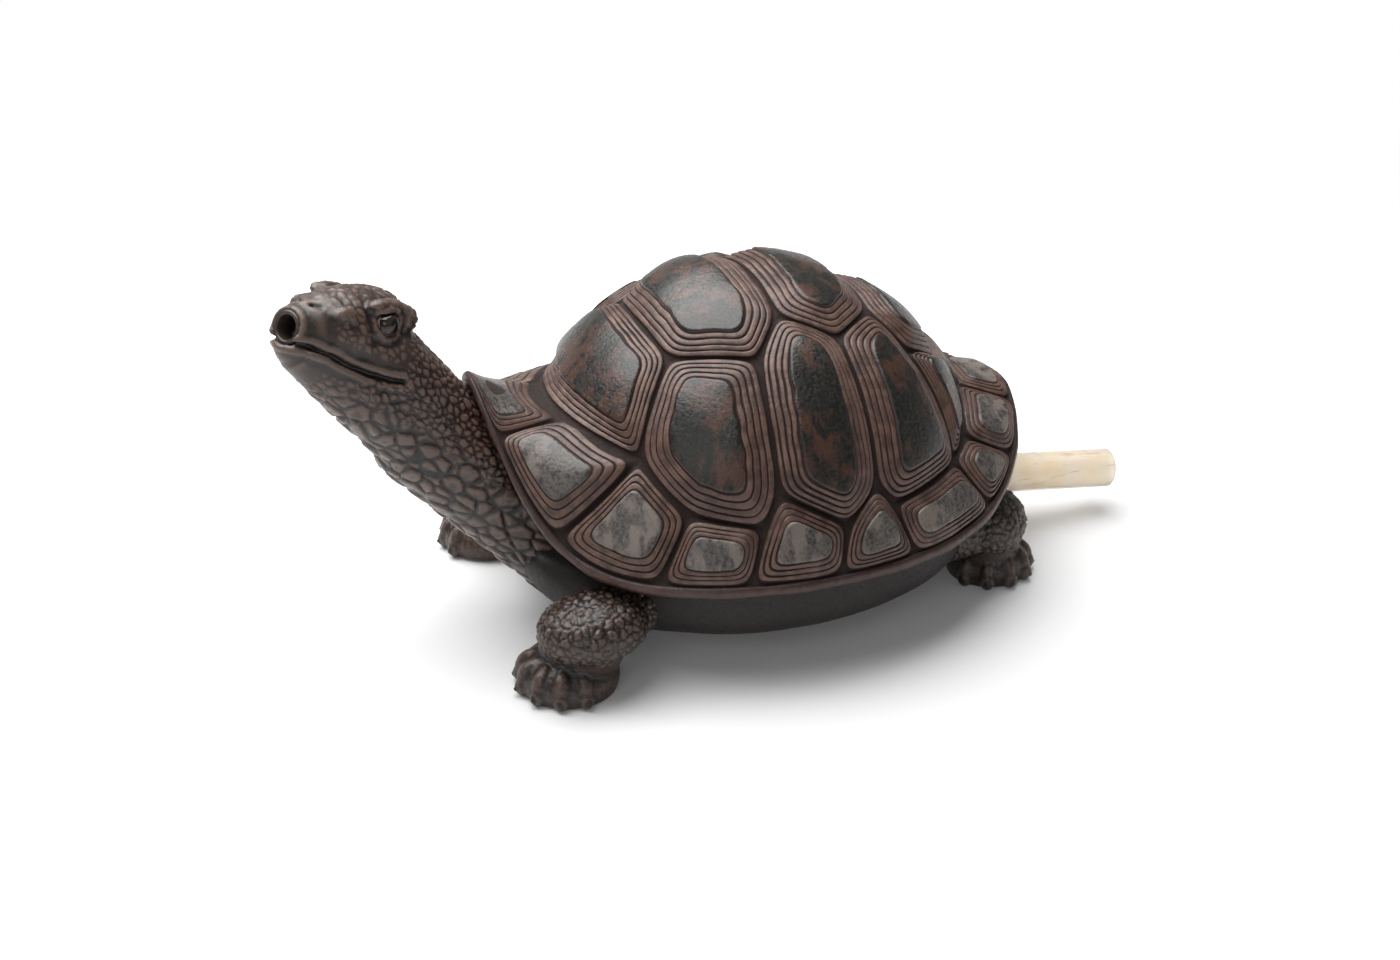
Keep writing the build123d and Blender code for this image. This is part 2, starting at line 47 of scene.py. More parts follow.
# lengths below are in millimetres, at their places before the solids were shifted over the
# origin: the middle of the belly plate then lay at plateCentreY
plateCentreY = 1.0
shiftY = (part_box("plastron_plate")[0][1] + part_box("plastron_plate")[1][1]) / 2 / millimetre - plateCentreY


def linear(hexText):
    parts = [int(hexText[i:i + 2], 16) / 255 for i in (1, 3, 5)]
    lin = [c / 12.92 if c <= 0.04045 else ((c + 0.055) / 1.055) ** 2.4 for c in parts]
    return (*lin, 1.0)


# sockets named or numbered take a constant, or a link from another socket
def feed(tree, node, inputs):
    for name, value in inputs.items():
        if hasattr(value, "node"):
            tree.links.new(value, node.inputs[name])
        else:
            node.inputs[name].default_value = value


def addNode(tree, kind, settings, inputs):
    node = tree.nodes.new(kind)
    for name, value in settings.items():
        setattr(node, name, value)
    feed(tree, node, inputs)
    return node


def smoothStep(low, high, x):
    t = np.clip((x - low) / (high - low), 0, 1)
    return t * t * (3 - 2 * t)


def unit(vectors):
    return vectors / np.linalg.norm(vectors, axis=-1, keepdims=True)


def distances(points, place):
    return np.linalg.norm(points - np.array(place), axis=1)


# a smooth ridge of height one at a set distance from a line or place
def ridge(distance, middle, width):
    return np.exp(-((distance - middle) / width) ** 2)


def readPoints(mesh):
    flat = np.zeros(len(mesh.vertices) * 3)
    mesh.vertices.foreach_get("co", flat)
    return flat.reshape(-1, 3)


def readNormals(mesh):
    flat = np.zeros(len(mesh.vertices) * 3)
    mesh.vertex_normals.foreach_get("vector", flat)
    return flat.reshape(-1, 3)


def writePoints(mesh, points):
    mesh.vertices.foreach_set("co", np.asarray(points, dtype=float).ravel())
    mesh.update()


def writeAttribute(mesh, name, values):
    layer = mesh.attributes.get(name) or mesh.attributes.new(name, "FLOAT", "POINT")
    layer.data.foreach_set("value", np.asarray(values, dtype=float))


def meshObject(bm, name):
    mesh = bpy.data.meshes.new(name)
    bm.to_mesh(mesh)
    bm.free()
    obj = bpy.data.objects.new(name, mesh)
    bpy.context.scene.collection.objects.link(obj)
    return obj


def finishPiece(obj, material, *nodes):
    points = readPoints(obj.data)
    writePoints(obj.data, (points + np.array([0, shiftY, 0])) * millimetre)
    obj.data.materials.clear()
    obj.data.materials.append(material)
    obj.data.polygons.foreach_set("use_smooth", [True] * len(obj.data.polygons))
    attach(obj, "root")
    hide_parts(*nodes)
    print("piece", obj.name, len(obj.data.polygons), "faces")


# low, wide waves and a fine tooth, as a hand-cut master leaves them
def handCut(points, normals, wave, waveSize, tooth, toothSize):
    lift = [
        wave * noise.noise(Vector(p) / waveSize) + tooth * noise.noise(Vector(p) / toothSize)
        for p in points
    ]
    return points + normals * np.array(lift)[:, None]


# shell

shellLook = {
    "half": (80.6, 85.0, 83.2), "centre": (0, 2.5, 44.5),
    "sampleStep": 1.15,
    "seamDepth": 1.5, "seamWidth": 0.9,
    "firstTread": -0.3, "ringVariation": 0.32, "waver": 0.07, "waverSize": 13,
    "ringWidth": 2.5, "ringCount": 4, "ringRise": 0.55, "ringCrest": 0.42, "ringDip": 0.42,
    "plateauRise": 0.75, "plateauEdge": 1.5,
    "cornerBlend": 2.2, "bulge": 1.0, "bulgeSteepness": 2.4, "roomShare": 0.62,
    "shoulderSink": 1.8, "shoulderPitch": -27, "shoulderSpan": 10, "shoulderRoll": 34,
    "rearSink": 1.6, "rearPitch": 26, "rearSpan": 24,
    "handCut": (0.5, 14, 0.06, 1.7),
}

rimLook = {
    "halfWidth": 86.9, "halfLength": 107.9, "centreY": 2.0,
    "sideZ": 38.7, "frontLift": 58.5, "rearLift": 26.5, "frontPower": 9, "rearPower": 6,
    "bandHeight": 4.6, "bandLean": 0.8, "flare": 0.72,
    "ringWidth": 2.1, "ringCount": 3, "ringRise": 0.42, "ringCrest": 0.36, "ringDip": 0.38,
    "plateauRise": 0.7, "plateauEdge": 1.2,
    "cornerBlend": 2.0, "bulge": 1.8, "collarBulge": 5.0, "collarY": -80,
    "liningInset": 6, "liningHeight": 0.2, "liningFront": 0.22, "liningRear": 0.12,
}

# junctions of the scutes, as roll to the side, pitch to the rear, and lift off the dome
junctions = {
    "nuchal": (11, -61.5, 7.0), "v1side": (35, -57.5, 0.8),
    "v1v2": (21, -32, 0), "v2side": (34, -11.5, 0), "v2v3": (22.5, -0.5, 0),
    "v3side": (30, 15, 0), "v3v4": (15.5, 29, 0), "v4side": (24.5, 41, 0),
    "v4v5": (13, 57, 0), "v5side": (24.5, 68.5, 2.0), "rearLow": (10, 69, 3.0),
    "m2m3": (53, -66, 0.5), "m3m4": (70, -53, 0.5), "m4top": (67, -29.5, 0),
    "m4m5": (78.5, 27, 0.5), "m5top": (67, 38.5, 0), "m5m6": (67.5, 57.5, 1.0),
    "m6top": (42, 72.5, 1.5), "m7m8": (32, 71.5, 3.0),
}

# scutes over the midline are given by their left half
middleScutes = [
    ["nuchal", "v1side", "v1v2"],
    ["v1v2", "v2side", "v2v3"],
    ["v2v3", "v3side", "v3v4"],
    ["v3v4", "v4side", "v4v5"],
    ["v4v5", "v5side", "rearLow"],
]
sideScutes = [
    ["v1v2", "v2side", "m4top", "m3m4", "m2m3", "v1side"],
    ["v2side", "v2v3", "v3side", "m5top", "m4m5", "m4top"],
    ["v3side", "v3v4", "v4side", "m6top", "m5m6", "m5top"],
    ["v4side", "v4v5", "v5side", "m7m8", "m6top"],
]
frontScute = ["rim-75", "nuchal"]
rearScute = ["rearLow", "rim77"]
rimScutes = [
    ["rim-75", "rim-57", "v1side", "nuchal"],
    ["rim-57", "rim-34", "m2m3", "v1side"],
    ["rim-34", "rim-16", "m3m4", "m2m3"],
    ["rim-16", "rim2", "m4m5", "m4top", "m3m4"],
    ["rim2", "rim19", "m5m6", "m5top", "m4m5"],
    ["rim19", "rim44", "m6top", "m5m6"],
    ["rim44", "rim61", "m7m8", "m6top"],
    ["rim61", "rim77", "rearLow", "v5side", "m7m8"],
]


def onDome(ways, lift):
    half = np.array(shellLook["half"])
    normals = unit(ways / half)
    pitch = np.degrees(np.arctan2(ways[..., 1], ways[..., 2]))
    roll = np.degrees(np.arcsin(np.clip(ways[..., 0], -1, 1)))
    across = (roll / shellLook["shoulderRoll"]) ** 2
    front = ((pitch - shellLook["shoulderPitch"]) / shellLook["shoulderSpan"]) ** 2
    rear = ((pitch - shellLook["rearPitch"]) / shellLook["rearSpan"]) ** 2
    sink = shellLook["shoulderSink"] * np.exp(-front - across)
    sink = sink + shellLook["rearSink"] * np.exp(-rear - across)
    base = np.array(shellLook["centre"]) + ways * half
    return base + normals * (lift - sink)[..., None], normals


def rimPlace(angle, out, rise):
    c, s = math.cos(math.radians(angle)), math.sin(math.radians(angle))
    lift = rimLook["frontLift"] if s < 0 else rimLook["rearLift"]
    power = rimLook["frontPower"] if s < 0 else rimLook["rearPower"]
    normal = unit(np.array([c / rimLook["halfWidth"], s / rimLook["halfLength"], 0]))
    place = np.array([
        rimLook["halfWidth"] * c,
        rimLook["centreY"] + rimLook["halfLength"] * s,
        rimLook["sideZ"] + lift * abs(s) ** power + rise])
    return place + normal * out


# upper edge of the rim's band, where its scutes begin
def bandEdge(angle):
    return rimPlace(angle, -rimLook["bandLean"], rimLook["bandHeight"])


def rimNormal(angle):
    c, s = math.cos(math.radians(angle)), math.sin(math.radians(angle))
    out = unit(np.array([c / rimLook["halfWidth"], s / rimLook["halfLength"], 0]))
    return unit(out * rimLook["flare"] + np.array([0, 0, 1 - rimLook["flare"] * 0.5]))


def rimAngle(name):
    angle = float(name[3:].rstrip("R"))
    return 180 - angle if name.endswith("R") else angle


# angles of two rim corners, with the second one always ahead of the first
def rimSpan(first, last):
    start, end = rimAngle(first), rimAngle(last)
    if end < start:
        end += 360
    return start, end


# place of a corner, its outward normal, and its direction and lift on the dome
def cornerAt(name):
    if name.startswith("rim"):
        angle = rimAngle(name)
        return bandEdge(angle), rimNormal(angle), np.zeros(4)
    roll, pitch, lift = junctions[name.rstrip("R")]
    if name.endswith("R"):
        roll = -roll
    roll, pitch = math.radians(roll), math.radians(pitch)
    way = np.array([math.sin(roll), math.cos(roll) * math.sin(pitch), math.cos(roll) * math.cos(pitch)])
    place, normal = onDome(way, np.array(lift))
    return place, normal, np.append(way, lift)


seams = {}


# places, normals and dome directions along a seam, shared by the scutes on both sides of it
def seamRows(first, last):
    if (last, first) in seams:
        return [row[::-1] for row in seams[(last, first)]]
    if (first, last) not in seams:
        a, b = cornerAt(first), cornerAt(last)
        count = max(4, round(float(np.linalg.norm(b[0] - a[0])) / shellLook["sampleStep"]))
        t = np.linspace(0, 1, count + 1)[:, None]
        places, normals, ways = [a[i] * (1 - t) + b[i] * t for i in range(3)]
        onRim = [name.startswith("rim") for name in (first, last)]
        if all(onRim):
            start, end = rimSpan(first, last)
            angles = start + (end - start) * t[:, 0]
            places = np.array([bandEdge(angle) for angle in angles])
            normals = np.array([rimNormal(angle) for angle in angles])
        elif not any(onRim):
            ways[:, :3] = unit(ways[:, :3])
            places, normals = onDome(ways[:, :3], ways[:, 3])
        seams[(first, last)] = [places, unit(normals), ways]
    return seams[(first, last)]


def outlineOf(corners):
    sides = [seamRows(*pair) for pair in zip(corners, corners[1:] + corners[:1])]
    return [np.concatenate([side[i][:-1] for side in sides]) for i in range(3)]


# how far round the rim and how far in from it a place lies, as on an unrolled strip
def unrolled(places, start):
    angles = np.degrees(np.arctan2(
        (places[:, 1] - rimLook["centreY"]) / rimLook["halfLength"], places[:, 0] / rimLook["halfWidth"]))
    angles = start + (angles - start + 180) % 360 - 180
    ticks = np.linspace(start - 180, start + 180, 721)
    edge = np.array([bandEdge(tick) for tick in ticks])
    run = np.concatenate([[0], np.cumsum(np.linalg.norm(np.diff(edge, axis=0), axis=1))])
    foot = np.stack([np.interp(angles, ticks, edge[:, i]) for i in range(3)], 1)
    return np.stack([np.interp(angles, ticks, run), np.linalg.norm(places - foot, axis=1)], 1)


# a skin stretched over an outline: each inner spot takes its share of every edge value
def stretched(spots, outline, values):
    to = outline[None] - spots[:, None]
    reach = np.linalg.norm(to, axis=2) + 1e-9
    ahead = np.roll(to, -1, axis=1)
    cross = to[..., 0] * ahead[..., 1] - to[..., 1] * ahead[..., 0]
    half = np.tan(np.arctan2(cross, (to * ahead).sum(axis=2)) / 2)
    weight = (half + np.roll(half, 1, axis=1)) / reach
    return (weight / weight.sum(axis=1, keepdims=True)) @ values


# how far in from the nearest edge, with the corners rounded off
def depthInside(points, corners, blend):
    total = 0
    for a, b in zip(corners, np.roll(corners, -1, axis=0)):
        along = unit(b - a)
        inward = np.array([-along[1], along[0]])
        total = total + np.exp(-((points - a) @ inward) / blend)
    return -blend * np.log(total)


# for each ray from the centre to the outline, the share of it where the depth is reached
def shareAtDepth(outline, centre, corners, blend, depth):
    low, high = np.zeros(len(outline)), np.ones(len(outline))
    for step in range(16):
        middle = (low + high) / 2
        inside = depthInside(centre + (outline - centre) * middle[:, None], corners, blend) > depth
        low, high = np.where(inside, middle, low), np.where(inside, high, middle)
    return (low + high) / 2


# a growth ring across its width, from a thin dip up a steep rounded riser to a broad tread:
# how far across, height as a share of dip or crest, and groove
ringProfile = [
    (0.0, -1.0, 1.0), (0.06, 0.1, 0.8), (0.13, 0.8, 0.2), (0.22, 1.0, 0.0), (0.4, 0.95, 0.0),
    (0.62, 0.85, 0.05), (0.8, 0.7, 0.15), (0.92, 0.0, 0.7),
]

# edge of the plateau: how far across, and the share of its rise
plateauProfile = [(0.0, 0.0), (0.1, 0.3), (0.24, 0.62), (0.45, 0.86), (0.7, 0.97), (1.0, 1.0)]

# rows over the plateau, as shares of its reach from the centre
plateauRows = (0.88, 0.74, 0.58, 0.42, 0.27, 0.13, 0.0)


# rows of a scute from its seam to its plateau: depth in, height, groove and plateau
def scuteRows(look, room, seed):
    widths = [
        look["ringWidth"] * (1 + shellLook["ringVariation"] * noise.noise(Vector((seed, ring * 1.7, 0))))
        for ring in range(look["ringCount"])
    ]
    need = shellLook["seamWidth"] + sum(widths) + look["plateauEdge"]
    tight = min(1.0, room * shellLook["roomShare"] / need)
    seam = shellLook["seamWidth"] * tight
    deep = shellLook["seamDepth"]
    rows = [(0.0, -deep, 1.0, 0.0), (seam * 0.6, -deep * 0.85, 1.0, 0.0)]
    depth, height = seam, shellLook["firstTread"]
    for width in widths:
        for across, level, groove in ringProfile:
            swell = look["ringRise"] * across + level * look["ringCrest" if level > 0 else "ringDip"]
            rows.append((depth + across * width * tight, height + swell, groove, 0.0))
        depth += width * tight
        height += look["ringRise"]
    low = height - look["ringDip"] * 0.5
    high = height + look["ringCrest"] * 0.8 + look["plateauRise"]
    for across, share in plateauProfile:
        step = depth + across * look["plateauEdge"] * tight
        rows.append((step, low + (high - low) * share, 1.0 - share, share))
    return rows


# how far out each row of a scute lies between its centre and its outline
def scuteShares(rows, flat, centre, corners, blend, waver):
    shares = [np.ones(len(flat))]
    for row in rows[1:]:
        share = shareAtDepth(flat, centre, corners, blend, row[0])
        inset = (1 - share) * (1 + shellLook["waver"] * waver * min(1, row[0] / 3))
        shares.append(np.minimum(1 - inset, shares[-1] - 1e-4))
    return shares + [shares[-1] * step for step in plateauRows]


# axes of a plane that faces a scute of the dome: out of the shell, and two across it
def facingAxes(ways):
    facing = unit(ways.mean(axis=0))
    side = unit(np.cross(np.array([0, 1, 0]), facing))
    return facing, side, np.cross(facing, side)


def runsBackwards(corners):
    ahead = np.roll(corners, -1, axis=0)
    return np.sum(corners[:, 0] * ahead[:, 1] - corners[:, 1] * ahead[:, 0]) < 0


# rows of places closed into rings, each row with its groove and plateau
def addRows(bm, points, marks):
    columns, last = len(points[0]), len(points) - 1
    made = bmesh.ops.create_grid(bm, x_segments=columns, y_segments=last, size=1)
    grooveLayer = bm.verts.layers.float["groove"]
    plateauLayer = bm.verts.layers.float["plateau"]
    for vert in made["verts"]:
        i = round((vert.co.x + 1) / 2 * columns) % columns
        j = round((vert.co.y + 1) / 2 * last)
        vert[grooveLayer], vert[plateauLayer] = marks[j]
        vert.co = points[j][i]


# a scute is laid flat, its rows are drawn inside its outline, and they are lifted on the shell
def addScute(bm, corners, look):
    onRim = look is rimLook
    places, normals, ways = outlineOf(corners)
    ways, lifts = ways[:, :3], ways[:, 3]
    bends = np.cumsum([0] + [len(seamRows(*pair)[0]) - 1 for pair in zip(corners, corners[1:])])
    if onRim:
        flat = unrolled(places, rimAngle(next(name for name in corners if name.startswith("rim"))))
    else:
        size = shellLook["half"][1]
        facing, side, lean = facingAxes(ways[bends])
        flat = np.stack([ways @ side, ways @ lean], 1) * size / (ways @ facing)[:, None]
    sense = -1 if runsBackwards(flat[bends]) else 1
    flat = flat * np.array([sense, 1])
    flatCorners = flat[bends]
    centre = flatCorners.mean(axis=0)
    blend = look["cornerBlend"]
    room = float(depthInside(centre[None], flatCorners, blend)[0])
    rows = scuteRows(look, room, float(abs(places[:, 0].mean()) + places[:, 1].mean()) * 0.37)
    waver = np.array([noise.noise(Vector(p) / shellLook["waverSize"]) for p in places])
    bulge, steep = look["bulge"], shellLook["bulgeSteepness"]
    if onRim and places[:, 1].mean() < rimLook["collarY"]:
        bulge = rimLook["collarBulge"]
    points, marks = [places + normals * rows[0][1]], [rows[0][2:]]
    for j, share in enumerate(scuteShares(rows, flat, centre, flatCorners, blend, waver)[1:], 1):
        height, groove, plateau = rows[min(j, len(rows) - 1)][1:]
        spots = centre + (flat - centre) * share[:, None]
        depth = np.clip(depthInside(spots, flatCorners, blend), 0, room)
        rise = height + bulge * (1 - np.exp(-steep * depth / room)) / (1 - math.exp(-steep))
        if onRim:
            mixed = stretched(spots, flat, np.concatenate([places, normals], 1))
            base, up = mixed[:, :3], unit(mixed[:, 3:])
        else:
            way = unit(facing * size + side * spots[:, :1] * sense + lean * spots[:, 1:])
            base, up = onDome(way, lifts * share ** 3)
        points.append(base + up * rise[:, None])
        marks.append((groove, plateau))
    addRows(bm, points, marks)


def shellMesh():
    bm = bmesh.new()
    bm.verts.layers.float.new("groove")
    bm.verts.layers.float.new("plateau")
    return bm


def otherSide(corners):
    return [name + "R" for name in reversed(corners)]


# merge the seams, point every face outwards, and give the casting its hand-cut waver
def finishShell(bm, name, material):
    bmesh.ops.remove_doubles(bm, verts=bm.verts, dist=0.002)
    bmesh.ops.recalc_face_normals(bm, faces=bm.faces)
    shell = meshObject(bm, name)
    points = handCut(readPoints(shell.data), readNormals(shell.data), *shellLook["handCut"])
    writePoints(shell.data, points)
    finishPiece(shell, material, "carapace")


def buildDome(material):
    bm = shellMesh()
    for corners in middleScutes:
        addScute(bm, corners + otherSide(corners), shellLook)
    for corners in sideScutes:
        addScute(bm, corners, shellLook)
        addScute(bm, otherSide(corners), shellLook)
    finishShell(bm, "carapaceDome", material)


# profile of the smooth band under the rim's scutes: out, up, groove
bandProfile = [
    (-1.2, 4.3, 1.0), (-0.4, 4.1, 0.7), (0.15, 3.5, 0.4), (0.42, 2.7, 0.35),
    (0.5, 1.8, 0.4), (0.35, 0.95, 0.5), (-0.15, 0.3, 0.6), (-1.1, 0.0, 0.8), (-3.0, 0.1, 1.0),
    (-7.5, 0.6, 1.0),
]


def buildRim(material):
    bm = shellMesh()
    for corners in (frontScute, rearScute):
        addScute(bm, corners + otherSide(corners), rimLook)
    for corners in rimScutes:
        addScute(bm, corners, rimLook)
        addScute(bm, otherSide(corners), rimLook)
    names = [corners[0] for corners in rimScutes] + ["rim77", "rim77R"]
    names += [corners[0] + "R" for corners in reversed(rimScutes)]
    seamLine, seamUp, angles = [], [], []
    for first, last in zip(names, names[1:] + names[:1]):
        places, normals = seamRows(first, last)[:2]
        seamLine.append(places[:-1])
        seamUp.append(normals[:-1])
        angles.append(np.linspace(*rimSpan(first, last), len(places))[:-1])
    seamLine, seamUp, angles = [np.concatenate(part) for part in (seamLine, seamUp, angles)]
    points, marks = [seamLine - seamUp * shellLook["seamDepth"]], [(1.0, 0.0)]
    for out, up, groove in bandProfile:
        points.append([rimPlace(angle, out, up) for angle in angles])
        marks.append((groove, 0.0))
    # hidden lining that closes the casting under the dome
    half = np.array(shellLook["half"]) - rimLook["liningInset"]
    c, s = np.cos(np.radians(angles)), np.sin(np.radians(angles))
    ends = np.where(s < 0, rimLook["liningFront"], rimLook["liningRear"])
    low = rimLook["liningHeight"] + ends * abs(s) ** 3
    start = np.stack([c * np.sqrt(1 - low ** 2), s * np.sqrt(1 - low ** 2), low], 1)
    for step in (0.0, 0.25, 0.5, 0.75, 1.0):
        way = unit(start * (1 - step) + np.array([0, 0, 1]) * step)
        points.append(np.array(shellLook["centre"]) + way * half)
        marks.append((1.0, 0.0))
    addRows(bm, points[::-1], marks[::-1])
    finishShell(bm, "carapaceRim", material)


# soft forms: overlapping solids fused into one skin, smoothed, then cut

def addBall(bm, place, half, axes=Matrix.Identity(3)):
    matrix = Matrix.Translation(place) @ axes.to_4x4() @ Matrix.Diagonal((*half, 1))
    bmesh.ops.create_uvsphere(bm, u_segments=48, v_segments=24, radius=1, matrix=matrix)


def addTaper(bm, start, end, startRadius, endRadius):
    start, end = Vector(start), Vector(end)
    run = end - start
    matrix = Matrix.Translation((start + end) / 2) @ run.to_track_quat("Z", "Y").to_matrix().to_4x4()
    bmesh.ops.create_cone(
        bm, cap_ends=True, cap_tris=False, segments=64,
        radius1=startRadius, radius2=endRadius, depth=run.length, matrix=matrix)


def fuseForm(bm, name, voxel, smoothing):
    obj = meshObject(bm, name)
    remesh = obj.modifiers.new("fuse", "REMESH")
    remesh.mode = "VOXEL"
    remesh.voxel_size = voxel
    graph = bpy.context.evaluated_depsgraph_get()
    mesh = bpy.data.meshes.new_from_object(obj.evaluated_get(graph))
    obj.modifiers.clear()
    obj.data = mesh
    bm = bmesh.new()
    bm.from_mesh(mesh)
    for step in range(smoothing):
        bmesh.ops.smooth_vert(
            bm, verts=bm.verts, factor=0.5, use_axis_x=True, use_axis_y=True, use_axis_z=True)
    bm.to_mesh(mesh)
    bm.free()
    mesh.update()
    return obj


# irregular plates: distance to the nearest crack, a tone for each plate, and its tilt
def platePattern(points, size, shift, lean=(0, 0, 0)):
    edges, tones, tilts = np.zeros(len(points)), np.zeros(len(points)), np.zeros(len(points))
    offset = Vector((shift, shift * 0.7, -shift))
    down = Vector(lean)
    for i, p in enumerate(points):
        spot = Vector(p) / size + offset
        near, cells = noise.voronoi(spot)
        edges[i] = near[1] - near[0]
        tones[i] = noise.noise(cells[0] * 3.7)
        tilts[i] = (spot - cells[0]).dot(down)
    return edges, tones, tilts


def nearLine(points, line):
    best = np.full(len(points), 1e9)
    for a, b in zip(line, line[1:]):
        a, b = np.array(a), np.array(b)
        t = np.clip((points - a) @ (b - a) / ((b - a) @ (b - a)), 0, 1)
        best = np.minimum(best, np.linalg.norm(points - a - t[:, None] * (b - a), axis=1))
    return best


# how deep each place lies under its smoothed surroundings: above zero in hollows, below on crests
def hollowness(mesh, points, rounds):
    ends = np.zeros(len(mesh.edges) * 2, dtype=int)
    mesh.edges.foreach_get("vertices", ends)
    first, last = ends.reshape(-1, 2).T
    count = len(points)
    around = np.bincount(first, minlength=count) + np.bincount(last, minlength=count)
    eased = points.copy()
    for step in range(rounds):
        total = np.stack([
            np.bincount(first, eased[last, i], count) + np.bincount(last, eased[first, i], count)
            for i in range(3)], 1)
        eased = (eased + total / np.maximum(around, 1)[:, None]) / 2
    return ((eased - points) * readNormals(mesh)).sum(axis=1)


# painted shade: darker in the hollows; painted highlight: paler on the crests
def writeShadeAndHighlight(mesh, rounds):
    depth = hollowness(mesh, readPoints(mesh), rounds)
    writeAttribute(mesh, "paintedShade", smoothStep(0.015, 0.17, depth))
    writeAttribute(mesh, "paintedHighlight", smoothStep(0.02, 0.16, -depth))


# head and neck

# the mouth and nostril lines, the eye and the side forms are given for the left side, in head
# axes: forward, aside, above
headLook = {
    "place": (0, -149, 124), "turn": 35, "raise": 22, "voxel": 0.75, "smoothing": 6,
    "neck": ((0, -65, 28.8), (0, -121.5, 80.6), 26.9, 20.6), "bendRadius": 21.0,
    # from a place in the neck to one in head axes, with both radii
    "throat": [((0, -114, 72), (0, 0, 0), 20.7, 18.0), ((0, -116, 74), (22, 0, -4.5), 19.1, 9.8)],
    "chin": (21.5, 0, -4.3), "chinRadius": 9.4,
    "skull": [(-8, 18.4), (-2, 18.0), (4, 17.0), (11, 14.9), (18, 12.2), (23, 9.6)],
    "nape": (-13, 0, 1), "napeSize": (9, 17.2, 16.5),
    "snout": ((20, 0, 0.8), (29.6, 0, 1.0), 9.4, 7.9),
    # brow, temple, ridge of the snout, cheek, lip
    "sides": [
        ((-3.5, 14.2, 13.1), (9.8, 4.2, 3.4)), ((-11.5, 14.4, 9.5), (6.5, 4.6, 5.5)),
        ((11, 10.0, 8.0), (8, 4.0, 4.0)), ((-4, 14, -8.5), (13, 5.2, 5.5)),
        ((14, 8.5, -5.5), (12, 4.6, 4.5))],
    "mouth": [
        (32, 0, -3.9), (26.5, 0, -3.7), (19, 0, -5.4), (12.5, 0, -7.8),
        (4, 0, -10.2), (-3, 0, -11.2), (-8.0, 0, -11.4)],
    "mouthCorner": (-9, 17.2, -11.5), "eyePit": (3.5, 17, 0.8),
    "nostril": [(22.4, 3.2, 10.2), (20.8, 5.2, 9.6)],
    "plateSize": 7.6, "nearPlateSize": 3.4, "plateSink": 0.35, "seatGap": 0.12,
}

# bead eyes, and the sleeve in the lips
eyeLook = {"place": (-2.2, 16.0, 7.4), "radius": 4.4}
nozzleLook = {
    "outer": 6.0, "inner": 4.3, "length": 13.85, "back": (16.0, 0, 1.2), "recess": 9, "seatGap": 0.1,
}

headTurn, headRaise = math.radians(headLook["turn"]), math.radians(headLook["raise"])
headForward = Vector((
    math.sin(headTurn) * math.cos(headRaise), -math.cos(headTurn) * math.cos(headRaise), math.sin(headRaise)))
headLeft = Vector((math.cos(headTurn), math.sin(headTurn), 0))
headUp = headForward.cross(headLeft)
headAxes = Matrix((headForward, headLeft, headUp)).transposed()


def headPlace(forward, aside, above):
    return Vector(headLook["place"]) + headAxes @ Vector((forward, aside, above))


def inHeadAxes(points):
    return (points - np.array(headLook["place"])) @ np.array(headAxes)


def eyeCentre(side):
    forward, aside, above = eyeLook["place"]
    return headPlace(forward, aside * side, above)


def fuseHead():
    bm = bmesh.new()
    addTaper(bm, *headLook["neck"])
    addBall(bm, headLook["neck"][1], (headLook["bendRadius"],) * 3)
    for start, end, startRadius, endRadius in headLook["throat"]:
        addTaper(bm, start, headPlace(*end), startRadius, endRadius)
    addBall(bm, headPlace(*headLook["chin"]), (headLook["chinRadius"],) * 3, headAxes)
    for forward, radius in headLook["skull"]:
        addBall(bm, headPlace(forward, 0, 0), (radius,) * 3, headAxes)
    addBall(bm, headPlace(*headLook["nape"]), headLook["napeSize"], headAxes)
    start, end, startRadius, endRadius = headLook["snout"]
    addTaper(bm, headPlace(*start), headPlace(*end), startRadius, endRadius)
    for side in (-1, 1):
        for (forward, aside, above), half in headLook["sides"]:
            addBall(bm, headPlace(forward, aside * side, above), half, headAxes)
    return fuseForm(bm, "headAndNeck", headLook["voxel"], headLook["smoothing"])


# cuts and swellings of the face, the band along its lips, and the mouth line and nostrils that are drawn
# darker
def carveFace(mirrored):
    # the mouth is drawn from the side, with a fuller lip under it
    toMouth = nearLine(mirrored * np.array([1, 0, 1]), headLook["mouth"])
    cut = -1.7 * ridge(toMouth, 0, 0.85) + 0.7 * ridge(toMouth, 2.3, 1.2)
    cut -= 1.1 * ridge(distances(mirrored, headLook["mouthCorner"]), 0, 1.8)
    # socket and lids
    toEye = distances(mirrored, eyeLook["place"])
    cut += 0.75 * ridge(toEye, 5.6, 0.8) - 0.45 * ridge(toEye, 7.6, 1.2)
    cut -= 1.2 * ridge(distances(mirrored, headLook["eyePit"]), 0, 2.0)
    toNostril = nearLine(mirrored, headLook["nostril"])
    cut -= 2.6 * ridge(toNostril, 0, 1.1)
    lips = ridge(toMouth, 3, 3.5) * (mirrored[:, 0] > headLook["mouthCorner"][0])
    return cut, lips, ridge(toMouth, 0, 0.85) + ridge(toNostril, 0, 1.2)


